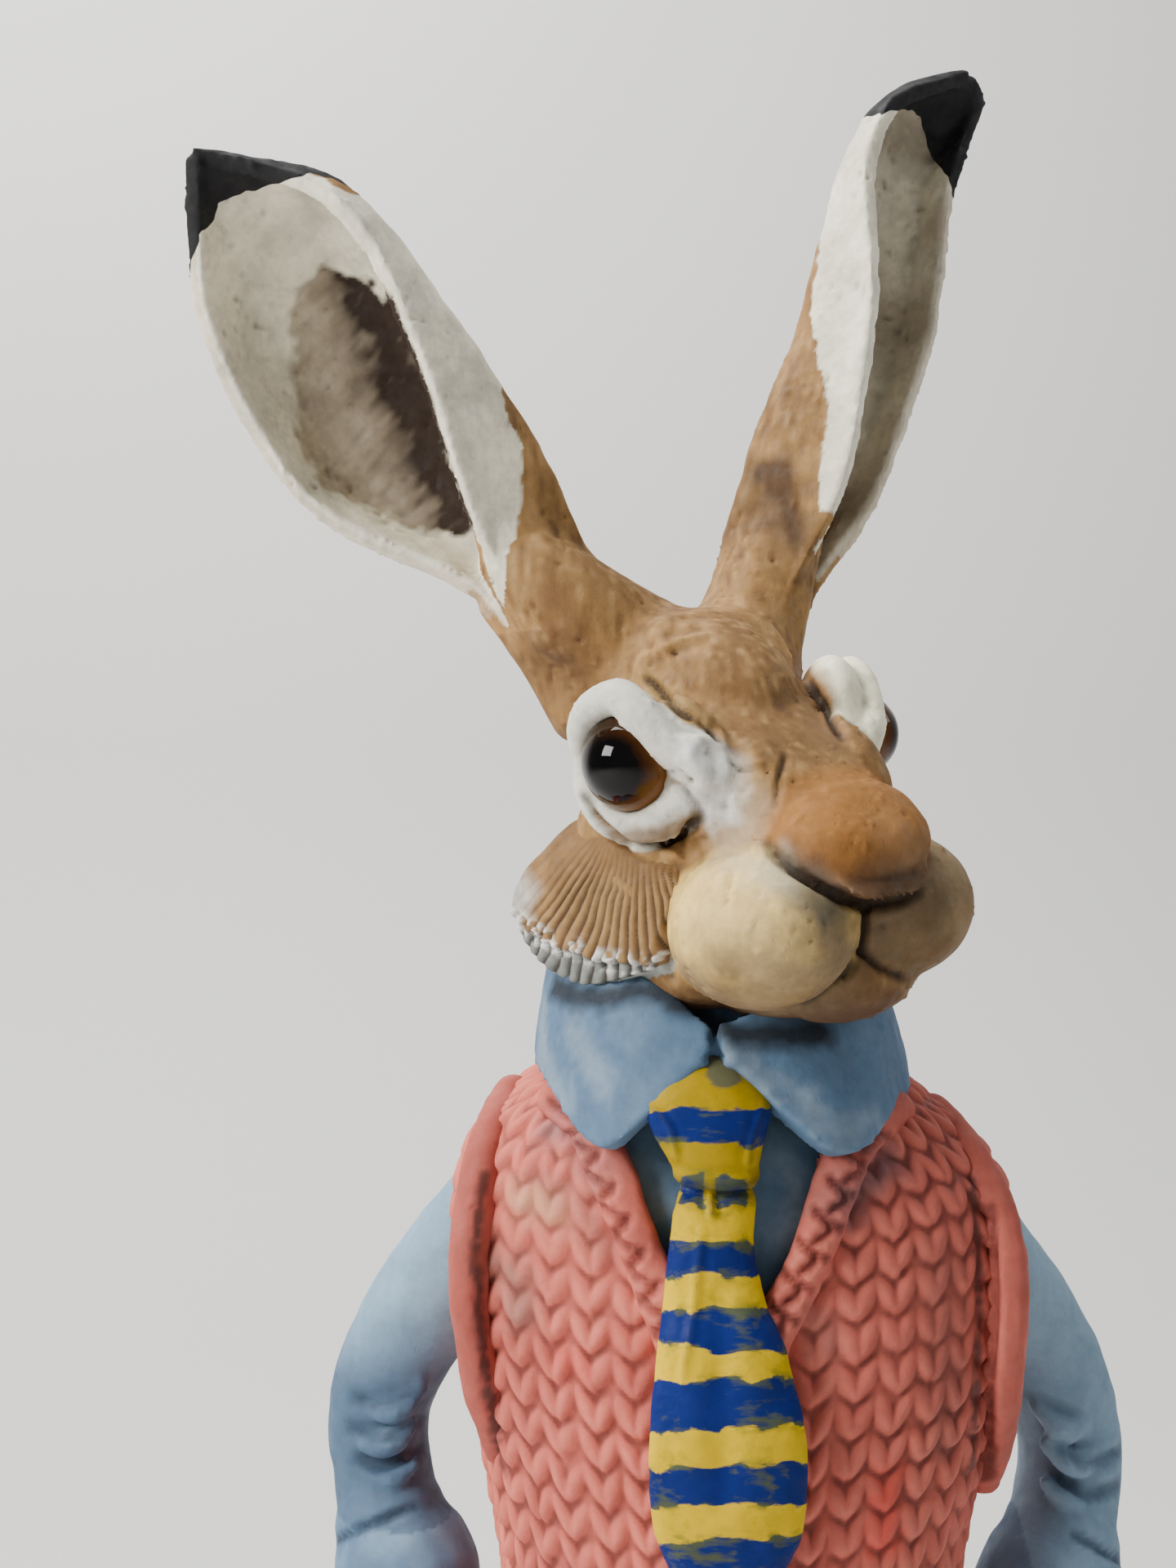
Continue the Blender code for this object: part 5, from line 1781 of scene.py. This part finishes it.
# %% Feet
foot_forms = []
for side in (1, -1):
    sole = ((33, 18, 11.5, 12.5), (33, 0, 15, 14.5), (36, -26, 11.5, 13), (38, -48, 8.5, 12))
    foot_forms.append(roll([(side * x, y, z, thick) for x, y, z, thick in sole]))
    for toe in range(4):
        spread = (toe - 1.5) * 6.6
        reach = -66 + abs(toe - 1.6) * 3
        toe_root = (side * 38 + spread * 0.8, -46, 8, 6)
        foot_forms.append(roll([toe_root, (side * 39 + spread * 1.2, reach, 6, 5.4)]))
feet = pressed_together(foot_forms, 1.3, 2, FUR)
hollows(feet, 5)
finished("feet", feet, CLAY_FUR, keep=feet.points[feet.faces].mean(axis=1)[:, 2] > 1.2)

# %% Base
profile = [(0.0, 0.0), (0.6, 0.0), (0.97, 0.0), (0.995, 0.3), (1.0, 1.2)]
profile += [(1.0, h) for h in (4, 7, 10, 13)] + [(0.996, 15.2), (0.985, 16.8), (0.965, 17.7), (0.94, 18)]
profile += [(s, 18.0) for s in np.linspace(0.9, 0.02, 16)]
angle = np.linspace(0, 2 * math.pi, 200, endpoint=False)
rings = []
for share, height in profile:
    share = max(share, 0.002)
    level = np.full(200, height - 16.0)
    rings.append(np.stack((90 * share * np.sin(angle), -80 * share * np.cos(angle), level), 1))
base = wrapped(rings, (0.045, 0.038, 0.032))
hollows(base, 2)
BASE_PAINT = painted("painted_base", mottle=0.25, wash=0.3, rubbed_and_highlit=0.3)
finished("base", base, BASE_PAINT)

# %% [markdown]
# # Floor, light and camera
# A plain pale floor that sweeps up behind the figure, a large soft light from the left with a weak
# one on the far side, and the camera where the photographer stood, level with the hare's eyes.

# %% Camera
eye_level = bpy.data.cameras.new("camera")
eye_level.sensor_width = 36
eye_level.lens = 37.5
eye_level.clip_start = 0.01
camera = bpy.data.objects.new("camera", eye_level)
camera.location = (-0.0363, -0.420, 0.458)
camera.rotation_euler = (math.pi / 2, 0, 0)
bpy.context.scene.collection.objects.link(camera)
bpy.context.scene.camera = camera

# %% Floor and backdrop
sweep = [(-3.0, 0.0), (0.9, 0.0)]
for k in range(1, 9):
    bend = math.pi / 2 * k / 8
    sweep.append((0.9 + 0.5 * math.sin(bend), 0.5 - 0.5 * math.cos(bend)))
sweep.append((1.4, 4.0))
points = [(x, y, z) for y, z in sweep for x in (-4.0, 4.0)]
faces = [(2 * k, 2 * k + 1, 2 * k + 3, 2 * k + 2) for k in range(len(sweep) - 1)]
mesh = bpy.data.meshes.new("backdrop")
mesh.from_pydata(points, [], faces)
mesh.shade_smooth()
backdrop = bpy.data.objects.new("backdrop", mesh)
bpy.context.scene.collection.objects.link(backdrop)
paper = bpy.data.materials.new("pale_paper")
paper.use_nodes = True
paper.node_tree.nodes["Principled BSDF"].inputs["Base Color"].default_value = (0.72, 0.71, 0.70, 1)
paper.node_tree.nodes["Principled BSDF"].inputs["Roughness"].default_value = 0.9
mesh.materials.append(paper)

# %% Light


def soft_light(name, place, target, size, watts, colour):
    lamp = bpy.data.lights.new(name, "AREA")
    lamp.shape = "RECTANGLE"
    lamp.size, lamp.size_y = size
    lamp.energy = watts
    lamp.color = colour
    obj = bpy.data.objects.new(name, lamp)
    obj.location = place
    obj.rotation_euler = (Vector(target) - Vector(place)).to_track_quat("-Z", "Y").to_euler()
    bpy.context.scene.collection.objects.link(obj)


soft_light("window_left", (-1.3, -0.75, 1.15), (0, 0, 0.42), (0.7, 0.7), 40, (1, 0.98, 0.95))
soft_light("far_side", (1.15, 0.1, 1.25), (0.02, 0, 0.42), (0.9, 0.9), 6, (0.96, 0.98, 1.0))
soft_light("wall_wash", (-0.8, 0.3, 2.2), (0.1, 1.4, 0.6), (1.6, 0.8), 62, (1, 0.99, 0.97))
world = bpy.data.worlds.new("room")
world.use_nodes = True
world.node_tree.nodes["Background"].inputs["Color"].default_value = (0.93, 0.96, 1.0, 1)
world.node_tree.nodes["Background"].inputs["Strength"].default_value = 0.2
bpy.context.scene.world = world

# %% The end
import json
